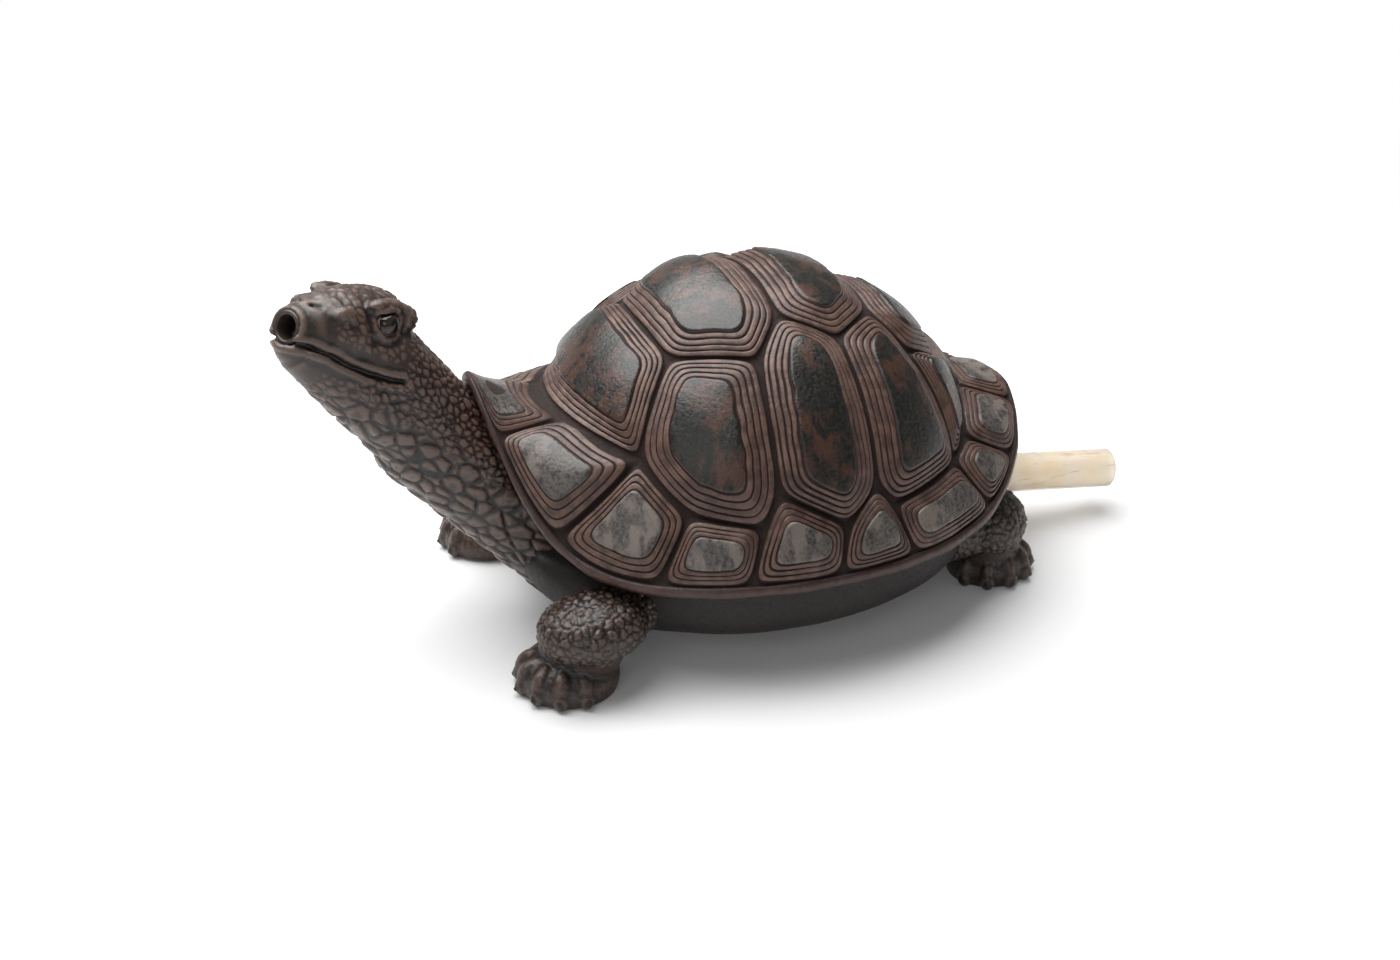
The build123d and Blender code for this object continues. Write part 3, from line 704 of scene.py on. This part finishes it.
# plates on the throat and neck, smaller ones towards the head, and pebbles on the cheek
def layPlates(points, forward, onHead, lips):
    # wider round the neck than along it, and each one overlaps the next below
    along = np.array([0, 0.66, 0.75])
    squeezed = points + (points @ along)[:, None] * along * 0.45
    bigEdge, bigTone, bigTilt = platePattern(squeezed, headLook["plateSize"], 3.1, along)
    smallEdge, smallTone, smallTilt = platePattern(squeezed, headLook["nearPlateSize"], 9.4, along)
    nearHead = smoothStep(88, 112, points[:, 2] + 0.25 * (points[:, 1] + 120))
    nape = smoothStep(-2, 10, (points[:, 1] + 122) * 0.68 + (points[:, 2] - 80) * 0.72)
    small = np.clip(np.maximum(nearHead * 0.9, nape), 0, 1)
    bigLift = smoothStep(0.0, 0.3, bigEdge) * (0.8 + 0.75 * np.clip(bigTilt, -0.6, 0.6))
    smallLift = smoothStep(0.0, 0.35, smallEdge) * (0.55 + 0.5 * np.clip(smallTilt, -0.6, 0.6))
    plate = bigLift * (1 - small) + smallLift * small
    crack = (1 - smoothStep(0.0, 0.11, bigEdge)) * (1 - small)
    crack = crack + (1 - smoothStep(0.0, 0.14, smallEdge)) * small
    beak = smoothStep(14, 22, forward)
    pebbles = np.clip(smoothStep(-14, -6, forward) * (1 - beak) * (1 - lips), 0, 1) * onHead
    plate = plate * (1 - onHead) + 0.28 * smoothStep(0.05, 0.4, smallEdge) * pebbles
    crack = crack * (1 - onHead) + 0.45 * (1 - smoothStep(0.0, 0.2, smallEdge)) * pebbles
    return plate, {
        "crack": crack, "tone": 0.5 + 0.5 * (bigTone * (1 - small) + smallTone * small),
        "rust": nape * (1 - onHead) + 0.35 * onHead * (1 - beak), "bare": onHead * (1 - pebbles),
    }


# room for the eyes and for the sleeve in the lips
def clearSeats(points):
    radius = eyeLook["radius"] + headLook["seatGap"]
    for side in (1, -1):
        centre = np.array(eyeCentre(side))
        away = points - centre
        gap = np.linalg.norm(away, axis=1)
        inside = gap < radius
        points[inside] = centre + away[inside] / gap[inside][:, None] * radius
    local = inHeadAxes(points)
    reach = np.linalg.norm(local[:, 1:] - np.array(nozzleLook["back"][1:]), axis=1)
    hole = (reach < nozzleLook["outer"] + nozzleLook["seatGap"]) & (local[:, 0] > 20)
    local[hole, 0] -= nozzleLook["recess"] * (1 - smoothStep(4.6, 6.1, reach[hole]))
    return np.array(headLook["place"]) + local @ np.array(headAxes).T


def buildHead(material):
    head = fuseHead()
    mesh = head.data
    points, normals = readPoints(mesh), readNormals(mesh)
    forward, aside, above = inHeadAxes(points).T
    onHead = smoothStep(-16, -9, forward) * smoothStep(-17, -9, above + 0.35 * (forward - 6))
    cut, lips, hollow = carveFace(np.stack([forward, np.abs(aside), above], 1))
    plate, marks = layPlates(points, forward, onHead, lips)
    marks["crack"] = marks["crack"] + hollow
    points = points + normals * (plate - headLook["plateSink"] + cut)[:, None]
    writePoints(mesh, clearSeats(points))
    for name, values in marks.items():
        writeAttribute(mesh, name, np.clip(values, 0, 1))
    writeShadeAndHighlight(mesh, 14)
    finishPiece(head, material, "head_and_neck")


def buildEyes(material):
    for name, side, node in (("eyeLeft", 1, "eye_left"), ("eyeRight", -1, "eye_right")):
        bm = bmesh.new()
        look = Vector((-0.1, side, 0.12)).normalized()
        axes = headAxes @ look.to_track_quat("Z", "Y").to_matrix()
        addBall(bm, eyeCentre(side), (eyeLook["radius"],) * 3, axes)
        eye = meshObject(bm, name)
        out = readPoints(eye.data) - np.array(eyeCentre(side))
        writeAttribute(eye.data, "pupil", out @ np.array(axes @ Vector((0, 0, 1))) / eyeLook["radius"])
        finishPiece(eye, material, node)


# a profile of radius and height, turned about an axis that starts at a place
def turnProfile(profile, steps, start, way, name):
    bm = bmesh.new()
    verts = [bm.verts.new((x, 0, z)) for x, z in profile]
    edges = [bm.edges.new(pair) for pair in zip(verts, verts[1:] + verts[:1])]
    bmesh.ops.spin(
        bm, geom=verts + edges, cent=(0, 0, 0), axis=(0, 0, 1), angle=math.tau, steps=steps, use_merge=True)
    bmesh.ops.remove_doubles(bm, verts=bm.verts, dist=0.0001)
    bmesh.ops.recalc_face_normals(bm, faces=bm.faces)
    matrix = Matrix.Translation(start) @ way.to_track_quat("Z", "Y").to_matrix().to_4x4()
    bmesh.ops.transform(bm, matrix=matrix, verts=bm.verts)
    return meshObject(bm, name)


# sleeve in the lips: a turned ring with a rounded front edge
def buildNozzle(material):
    outer, inner, length = nozzleLook["outer"], nozzleLook["inner"], nozzleLook["length"]
    profile = [
        (outer, 0), (outer, length - 0.65), (outer - 0.4, length - 0.15), (outer - 0.8, length),
        (inner + 0.3, length - 0.15), (inner, length - 0.65), (inner, 0)]
    sleeve = turnProfile(profile, 64, headPlace(*nozzleLook["back"]), headForward, "mouthNozzle")
    finishPiece(sleeve, material, "mouth_nozzle")


# legs

frontLeg = {
    "root": (46, -54, 24.5), "shoulder": (63, -80.5, 26), "shoulderSize": (16.7, 20.2, 11.9),
    "ankle": (55.5, -84, 10), "shinRadius": 15.0, "foot": (56.7, -88, 5), "footSize": (19.0, 19.0, 12.0),
    "turn": 34, "spread": 120, "toeReach": 11.3, "toeSize": (4.9, 8.8, 8.6),
}
rearLeg = {
    "root": (40, 68, 24.5), "shoulder": (37, 89, 24), "shoulderSize": (14.7, 15.7, 14.7),
    "ankle": (34, 90, 10), "shinRadius": 13.8, "foot": (33, 92, 5.5), "footSize": (16.6, 17.0, 12.4),
    "turn": 98, "spread": 130, "toeReach": 10.0, "toeSize": (4.4, 8.8, 8.4),
}

# what front and rear legs share
legLook = {
    "rootRadius": 11.8, "toes": 5, "knuckleHeight": 6.2, "voxel": 0.55, "smoothing": 3,
    "tipAhead": 6.2, "tipDrop": 2.2, "tipSize": (3.7, 3.4, 3.9),
    "nailAhead": 8.6, "nailDrop": 2.6, "nailLength": 1.5, "nailRadii": (1.3, 0.8),
    "soleHeight": 0.25, "plateSize": 3.2, "pebbleSize": 2.2, "plateSink": 0.4,
}


def fuseLeg(name, leg):
    bm = bmesh.new()
    addTaper(bm, leg["root"], leg["shoulder"], legLook["rootRadius"], legLook["rootRadius"])
    addBall(bm, leg["shoulder"], leg["shoulderSize"])
    addTaper(bm, leg["shoulder"], leg["ankle"], leg["shinRadius"], leg["shinRadius"])
    addBall(bm, leg["foot"], leg["footSize"], Matrix.Rotation(math.radians(leg["turn"]), 3, "Z"))
    up = Vector((0, 0, 1))
    nails = []
    for i in range(legLook["toes"]):
        heading = math.radians(leg["turn"] + leg["spread"] * (i / (legLook["toes"] - 1) - 0.5))
        aim = Vector((math.sin(heading), -math.cos(heading), 0))
        knuckle = Vector((*leg["foot"][:2], legLook["knuckleHeight"])) + aim * leg["toeReach"]
        addBall(bm, knuckle, leg["toeSize"], Matrix.Rotation(heading, 3, "Z"))
        addBall(bm, knuckle + aim * legLook["tipAhead"] - up * legLook["tipDrop"], legLook["tipSize"])
        nail = knuckle + aim * legLook["nailAhead"] - up * legLook["nailDrop"]
        addTaper(bm, nail, nail + (aim - up * 0.5) * legLook["nailLength"], *legLook["nailRadii"])
        nails.append(nail + aim * 0.8)
    cut = bmesh.ops.bisect_plane(
        bm, geom=bm.verts[:] + bm.edges[:] + bm.faces[:], plane_co=(0, 0, legLook["soleHeight"]),
        plane_no=(0, 0, -1), clear_outer=True)
    rims = [item for item in cut["geom_cut"] if isinstance(item, bmesh.types.BMEdge)]
    bmesh.ops.holes_fill(bm, edges=rims)
    return fuseForm(bm, name, legLook["voxel"], legLook["smoothing"]), nails


def buildLeg(name, leg, side, node, material):
    obj, nails = fuseLeg(name, leg)
    mesh = obj.data
    points, normals = readPoints(mesh), readNormals(mesh)
    bigEdge, bigTone = platePattern(points, legLook["plateSize"], 5.2)[:2]
    smallEdge = platePattern(points, legLook["pebbleSize"], 1.3)[0]
    # plates on the thigh, and a smoother foot
    high = smoothStep(14, 20, points[:, 2])
    pebbles = smoothStep(0.05, 0.35, smallEdge)
    lift = high * ((0.55 + 0.45 * bigTone) * smoothStep(0.02, 0.4, bigEdge) + 0.25 * pebbles)
    lift += (1 - high) * 0.1 * pebbles
    crack = high * (1 - smoothStep(0.0, 0.12, bigEdge)) * 0.8
    grounded = smoothStep(0.3, 2.0, points[:, 2])
    points = points + normals * ((lift - legLook["plateSink"]) * grounded)[:, None]
    points[:, 2] = np.maximum(points[:, 2], 0.0)
    nailGap = np.min([distances(points, nail) for nail in nails], axis=0)
    crack = np.maximum(crack, 1 - smoothStep(1.4, 2.2, nailGap))
    if side < 0:
        points[:, 0] *= -1
        mesh.flip_normals()
    writePoints(mesh, points)
    writeAttribute(mesh, "crack", crack)
    writeAttribute(mesh, "tone", np.clip(0.5 + 0.5 * bigTone, 0, 1))
    writeAttribute(mesh, "rust", 0.8 * (1 - high))
    writeAttribute(mesh, "bare", np.full(len(points), 0.25))
    writeShadeAndHighlight(mesh, 16)
    finishPiece(obj, material, node)


# lower body: bowl that widens from the belly to the deck, with the chest between neck and legs
bodyLook = {
    "heights": [8, 14, 24, 38], "halfWidths": [57, 70, 77, 79.5], "halfLengths": [74, 86, 92, 95],
    "centreY": 1, "chest": (0, -66, 28), "chestSize": (61.6, 27.6, 16.6),
    "columns": 120, "rows": 24, "voxel": 1.1, "smoothing": 5, "handCut": (0.5, 16, 0.08, 2.2),
}


def buildBody(material):
    bm = bmesh.new()
    columns, rows = bodyLook["columns"], bodyLook["rows"]
    made = bmesh.ops.create_grid(bm, x_segments=columns, y_segments=rows, size=1)
    widths = np.polyfit(bodyLook["heights"], bodyLook["halfWidths"], 3)
    lengths = np.polyfit(bodyLook["heights"], bodyLook["halfLengths"], 3)
    low, high = bodyLook["heights"][0], bodyLook["heights"][-1]
    for vert in made["verts"]:
        angle = (vert.co.x + 1) * math.pi
        j = round((vert.co.y + 1) / 2 * rows)
        height = low + (high - low) * min(max((j - 1) / (rows - 2), 0), 1)
        share = 0 if j in (0, rows) else 1
        vert.co = (
            np.polyval(widths, height) * math.cos(angle) * share,
            bodyLook["centreY"] + np.polyval(lengths, height) * math.sin(angle) * share, height)
    bmesh.ops.remove_doubles(bm, verts=bm.verts, dist=0.001)
    bmesh.ops.recalc_face_normals(bm, faces=bm.faces)
    addBall(bm, bodyLook["chest"], bodyLook["chestSize"])
    obj = fuseForm(bm, "bodyCasting", bodyLook["voxel"], bodyLook["smoothing"])
    mesh = obj.data
    points = handCut(readPoints(mesh), readNormals(mesh), *bodyLook["handCut"])
    points[:, 2] = np.maximum(points[:, 2], low)
    writePoints(mesh, points)
    writeShadeAndHighlight(mesh, 14)
    finishPiece(obj, material, "body_shell")


# hose of soft see-through vinyl, cut square, its end pushed over a barb and a little swollen
hoseLook = {
    "outer": 7.95, "inner": 6.05, "length": 68.0, "grip": 16.5, "swell": 0.5, "droop": 7,
    "startY": 96.5, "endHeight": 17.2,
}


def buildHose(material):
    outer, inner, swell = hoseLook["outer"], hoseLook["inner"], hoseLook["swell"]
    length, grip = hoseLook["length"], hoseLook["grip"]
    profile = [
        (outer + swell, 0), (outer + swell, grip - 1), (outer + swell - 0.2, grip + 1), (outer, grip + 3),
        (outer, length - 0.4), (outer - 0.3, length - 0.05), (inner + 0.25, length - 0.05),
        (inner, length - 0.4), (inner, grip + 1), (inner + swell, grip), (inner + swell, 0)]
    droop = math.radians(hoseLook["droop"])
    start = Vector((0, hoseLook["startY"], hoseLook["endHeight"] + length * math.sin(droop)))
    hose = turnProfile(profile, 72, start, Vector((0, math.cos(droop), -math.sin(droop))), "inletHose")
    finishPiece(hose, material, "inlet_hose")


# materials

def newMaterial(name):
    material = bpy.data.materials.new(name)
    material.use_nodes = True
    tree = material.node_tree
    place = addNode(tree, "ShaderNodeTexCoord", {}, {}).outputs["Object"]
    return material, tree, tree.nodes["Principled BSDF"], place


# clouds of a size in millimetres
def noiseAt(tree, place, size, detail=4.0):
    inputs = {"Vector": place, "Scale": 1 / (size * millimetre), "Detail": detail, "Roughness": 0.55}
    return addNode(tree, "ShaderNodeTexNoise", {}, inputs).outputs["Fac"]


# coordinates squeezed along an axis, which draws a pattern out along it
def streaked(tree, place, scale):
    return addNode(tree, "ShaderNodeVectorMath", {"operation": "MULTIPLY"}, {0: place, 1: scale}).outputs[0]


# a mix of two colours, each one a socket or written as hex
def mixColour(tree, factor, first, second):
    first, second = [linear(colour) if isinstance(colour, str) else colour for colour in (first, second)]
    return addNode(tree, "ShaderNodeMix", {"data_type": "RGBA"}, {0: factor, 6: first, 7: second}).outputs[2]


def spread(tree, value, low, high, outLow=0.0, outHigh=1.0):
    inputs = {"Value": value, "From Min": low, "From Max": high, "To Min": outLow, "To Max": outHigh}
    return addNode(tree, "ShaderNodeMapRange", {"interpolation_type": "SMOOTHSTEP"}, inputs).outputs[0]


def combine(tree, operation, first, second):
    settings = {"operation": operation, "use_clamp": True}
    return addNode(tree, "ShaderNodeMath", settings, {0: first, 1: second}).outputs[0]


def times(tree, first, second):
    return combine(tree, "MULTIPLY", first, second)


def attribute(tree, name):
    return addNode(tree, "ShaderNodeAttribute", {"attribute_name": name}, {}).outputs["Fac"]


# colour and sheen of a cast resin, with a fine tooth of a depth in millimetres
def finishResin(tree, shader, colour, roughness, fine, strength, depth):
    tooth = {"Height": fine, "Strength": strength, "Distance": depth * millimetre}
    bump = addNode(tree, "ShaderNodeBump", {}, tooth).outputs[0]
    feed(tree, shader, {"Base Color": colour, "Roughness": roughness, "IOR": 1.5, "Normal": bump})


# cast polyresin under a brushed dark lacquer: red-brown crests wiped pale, hollows full of black
# wash, and the flat plates glossy greenish black with worn brown patches
# the rim passes pale grey plate colours here: a painted sheen
def shellResin(name, plateauDark, plateauMid, plateauWearAndSheen):
    material, tree, shader, place = newMaterial(name)
    groove, plateau = attribute(tree, "groove"), attribute(tree, "plateau")
    broad = noiseAt(tree, place, 24)
    middle = noiseAt(tree, place, 6)
    fine = noiseAt(tree, place, 1.3, 6)
    ring = mixColour(tree, spread(tree, middle, 0.35, 0.65), "#412c24", "#60483e")
    ring = mixColour(tree, spread(tree, groove, 0.1, 0.6), ring, "#2c1710")
    ring = mixColour(tree, spread(tree, groove, 0.6, 0.95), ring, "#21130e")
    streak = noiseAt(tree, streaked(tree, place, (1, 1, 0.2)), 4.5)
    worn = times(tree, spread(tree, broad, 0.44, 0.58), spread(tree, streak, 0.42, 0.56))
    flat = mixColour(tree, spread(tree, fine, 0.35, 0.68), plateauDark, plateauMid)
    flat = mixColour(tree, worn, flat, plateauWearAndSheen)
    colour = mixColour(tree, spread(tree, plateau, 0.25, 0.8), ring, flat)
    gloss = spread(tree, plateau, 0.2, 1.0, 0.42, 0.3)
    rough = combine(tree, "ADD", gloss, spread(tree, fine, 0.3, 0.75, -0.05, 0.14))
    rough = combine(tree, "ADD", rough, spread(tree, groove, 0.6, 1.0, 0.0, 0.45))
    finishResin(tree, shader, colour, rough, fine, 0.5, 0.4)
    return material


# cast polyresin skin under a satin lacquer: dark plates that differ a little in tone, rusty patches,
# dark cracks, painted highlight on the crests and painted shade in the hollows
def skinResin(name, dark, pale, highlightColour):
    material, tree, shader, place = newMaterial(name)
    crack, tone, rust, bare, paintedShade, paintedHighlight = [
        attribute(tree, mark) for mark in ("crack", "tone", "rust", "bare", "paintedShade", "paintedHighlight")]
    broad = noiseAt(tree, place, 22)
    fine = noiseAt(tree, place, 1.1, 6)
    colour = mixColour(tree, tone, dark, pale)
    colour = mixColour(tree, times(tree, rust, spread(tree, broad, 0.35, 0.65)), colour, "#40251a")
    colour = mixColour(tree, times(tree, bare, 0.8), colour, "#29231f")
    colour = mixColour(tree, times(tree, bare, spread(tree, broad, 0.5, 0.65)), colour, "#2c2b1a")
    # painted highlight on the crests, then painted shade in the hollows
    colour = mixColour(tree, times(tree, paintedHighlight, 0.55), colour, highlightColour)
    colour = mixColour(tree, times(tree, paintedShade, 0.85), colour, "#0f0a08")
    colour = mixColour(tree, spread(tree, crack, 0.1, 0.9), colour, "#0f0a08")
    finishResin(tree, shader, colour, spread(tree, fine, 0.3, 0.75, 0.3, 0.5), fine, 0.45, 0.3)
    return material


# cast polyresin left plain: one dark cloudy coat, between satin and matt
def plainResin(name, dark, pale, roughness):
    material, tree, shader, place = newMaterial(name)
    broad = noiseAt(tree, place, 30)
    fine = noiseAt(tree, place, 1.4, 6)
    colour = mixColour(tree, spread(tree, broad, 0.3, 0.7), dark, pale)
    colour = mixColour(tree, spread(tree, fine, 0.55, 0.8), colour, "#1a1311")
    rough = spread(tree, fine, 0.3, 0.75, roughness - 0.06, roughness + 0.1)
    finishResin(tree, shader, colour, rough, fine, 0.3, 0.3)
    return material


# lacquered bead: a dark pupil in a brown iris, with a small sharp glint
def eyeBead(name):
    material, tree, shader = newMaterial(name)[:3]
    pupil = attribute(tree, "pupil")
    colour = mixColour(tree, spread(tree, pupil, 0.78, 0.88), "#2c2018", "#050404")
    colour = mixColour(tree, spread(tree, pupil, 0.5, 0.62), "#120d0a", colour)
    feed(tree, shader, {"Base Color": colour, "Roughness": 0.08})
    return material


# yellowed clear vinyl: cloudy with age, with light in its wall and brownish streaks along it
def agedVinyl(name):
    material, tree, shader, place = newMaterial(name)
    broad = noiseAt(tree, place, 12)
    fine = noiseAt(tree, streaked(tree, place, (1, 0.12, 1)), 2.6)
    colour = mixColour(tree, spread(tree, broad, 0.35, 0.65), "#fff0d6", "#fffaf0")
    colour = mixColour(tree, spread(tree, fine, 0.55, 0.7, 0.0, 0.75), colour, "#c98e68")
    feed(tree, shader, {"Base Color": colour, "Roughness": 0.22, "Transmission Weight": 0.65, "IOR": 1.45})
    return material


# stage

stageLook = {
    "floorColour": "#dedede", "floorSize": 6, "floorGlow": 0.05, "fadeFrom": 0.3, "fadeTo": 0.7,
    "roomStrength": 0.2, "white": (1, 1, 1, 1), "aim": (0, 0, 0.05),
    "lamps": [
        ("overhead", (-0.3, -0.2, 1.0), (1.3, 1.3), 29.0),
        ("front", (0.9, -0.7, 0.7), (0.6, 0.6), 1.6),
    ],
}


# one where a ray is of either kind
def eitherRay(tree, first, second):
    rays = addNode(tree, "ShaderNodeLightPath", {}, {})
    return combine(tree, "MAXIMUM", rays.outputs[first], rays.outputs[second])


def mixShaders(tree, factor, first, second, out):
    mix = addNode(tree, "ShaderNodeMixShader", {}, {0: factor, 1: first.outputs[0], 2: second.outputs[0]})
    tree.links.new(mix.outputs[0], out.inputs[0])


# matt white paper: no sheen, it takes the soft shadow and turns to plain white further off
def buildFloor():
    bm = bmesh.new()
    bmesh.ops.create_grid(bm, x_segments=1, y_segments=1, size=stageLook["floorSize"])
    floor = meshObject(bm, "floor")
    material, tree, shader, place = newMaterial("palePaper")
    seen = eitherRay(tree, "Is Camera Ray", "Is Glossy Ray")
    feed(tree, shader, {
        "Base Color": linear(stageLook["floorColour"]), "Roughness": 0.9, "Specular IOR Level": 0.0,
        "Emission Color": stageLook["white"], "Emission Strength": times(tree, seen, stageLook["floorGlow"])})
    reach = addNode(tree, "ShaderNodeVectorMath", {"operation": "LENGTH"}, {0: place})
    far = spread(tree, reach.outputs["Value"], stageLook["fadeFrom"], stageLook["fadeTo"])
    white = addNode(tree, "ShaderNodeEmission", {}, {"Color": stageLook["white"], "Strength": 1.0})
    mixShaders(tree, times(tree, far, seen), shader, white, tree.nodes["Material Output"])
    floor.data.materials.append(material)
    return floor


# soft white room light, plain white where the camera sees it
def buildRoom():
    world = bpy.data.worlds.new("room")
    bpy.context.scene.world = world
    world.use_nodes = True
    tree = world.node_tree
    tree.nodes.clear()
    soft, white = [
        addNode(tree, "ShaderNodeBackground", {}, {"Color": stageLook["white"], "Strength": strength})
        for strength in (stageLook["roomStrength"], 1.0)]
    seen = eitherRay(tree, "Is Camera Ray", "Is Transmission Ray")
    mixShaders(tree, seen, soft, white, addNode(tree, "ShaderNodeOutputWorld", {}, {}))


def buildLamp(name, place, size, power):
    data = bpy.data.lights.new(name, "AREA")
    data.shape = "RECTANGLE"
    data.size, data.size_y = size
    data.energy = power
    lamp = bpy.data.objects.new(name, data)
    lamp.location = place
    lamp.rotation_euler = (Vector(place) - Vector(stageLook["aim"])).to_track_quat("Z", "Y").to_euler()
    bpy.context.scene.collection.objects.link(lamp)
    return lamp


def buildStage():
    floor = buildFloor()
    buildRoom()
    lamps = [buildLamp(*lamp) for lamp in stageLook["lamps"]]


cameraLook = {
    "azimuth": 70.0, "elevation": 27.4, "distance": 0.8, "target": (0.006, -0.019, 0.0465), "lens": 53.7,
}


def buildCamera():
    data = bpy.data.cameras.new("camera")
    data.sensor_width = 36
    data.lens = cameraLook["lens"]
    camera = bpy.data.objects.new("camera", data)
    bpy.context.scene.collection.objects.link(camera)
    bpy.context.scene.camera = camera
    a, e = math.radians(cameraLook["azimuth"]), math.radians(cameraLook["elevation"])
    back = Vector((math.sin(a) * math.cos(e), -math.cos(a) * math.cos(e), math.sin(e)))
    target = Vector(cameraLook["target"]) + Vector((0, shiftY * millimetre, 0))
    camera.location = target + back * cameraLook["distance"]
    camera.rotation_euler = back.to_track_quat("Z", "Y").to_euler()


# the plateaus of the dome keep the dark gloss; those of the rim are painted pale grey, a painted sheen
shellMaterial = shellResin("lacqueredResinDome", "#10110e", "#211f1b", "#412a20")
sheenRimMaterial = shellResin("paintedSheenRimResin", "#35312e", "#57514d", "#6c635c")
# the legs take a darker copy of the skin of the head and neck: painted shade for the shade under the rim
skinMaterial = skinResin("lacqueredResinSkin", "#2b1f1a", "#443630", "#6f5c52")
shadedLegMaterial = skinResin("paintedShadeLegResin", "#1d1512", "#30241f", "#5d4a41")
# near-matt body casting, its own dark coat made darker still as painted shade under the shell, and a hard
# black plastic pipe with a satin sheen
shadedBodyMaterial = plainResin("paintedShadeBodyResin", "#130d0b", "#1d1512", 0.62)
pipeMaterial = plainResin("blackPipe", "#161616", "#202020", 0.4)
print("materials made")

buildDome(shellMaterial)
buildRim(sheenRimMaterial)
buildHead(skinMaterial)
buildEyes(eyeBead("lacqueredBead"))
buildNozzle(plainResin("sleeveResin", "#2f2722", "#3d332c", 0.35))
buildLeg("frontLegLeft", frontLeg, 1, "front_left_leg", shadedLegMaterial)
buildLeg("frontLegRight", frontLeg, -1, "front_right_leg", shadedLegMaterial)
buildLeg("rearLegLeft", rearLeg, 1, "rear_left_leg", shadedLegMaterial)
buildLeg("rearLegRight", rearLeg, -1, "rear_right_leg", shadedLegMaterial)
buildHose(agedVinyl("agedVinyl"))
buildBody(shadedBodyMaterial)
for node, material in (
        ("plastron_plate", shadedBodyMaterial), ("tail", shadedBodyMaterial), ("water_pipe", pipeMaterial)):
    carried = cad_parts[node]
    carried.data.materials.clear()
    carried.data.materials.append(material)
print("pieces made")

buildStage()
buildCamera()
bpy.context.scene.view_settings.view_transform = "Standard"
print("stage and camera made")
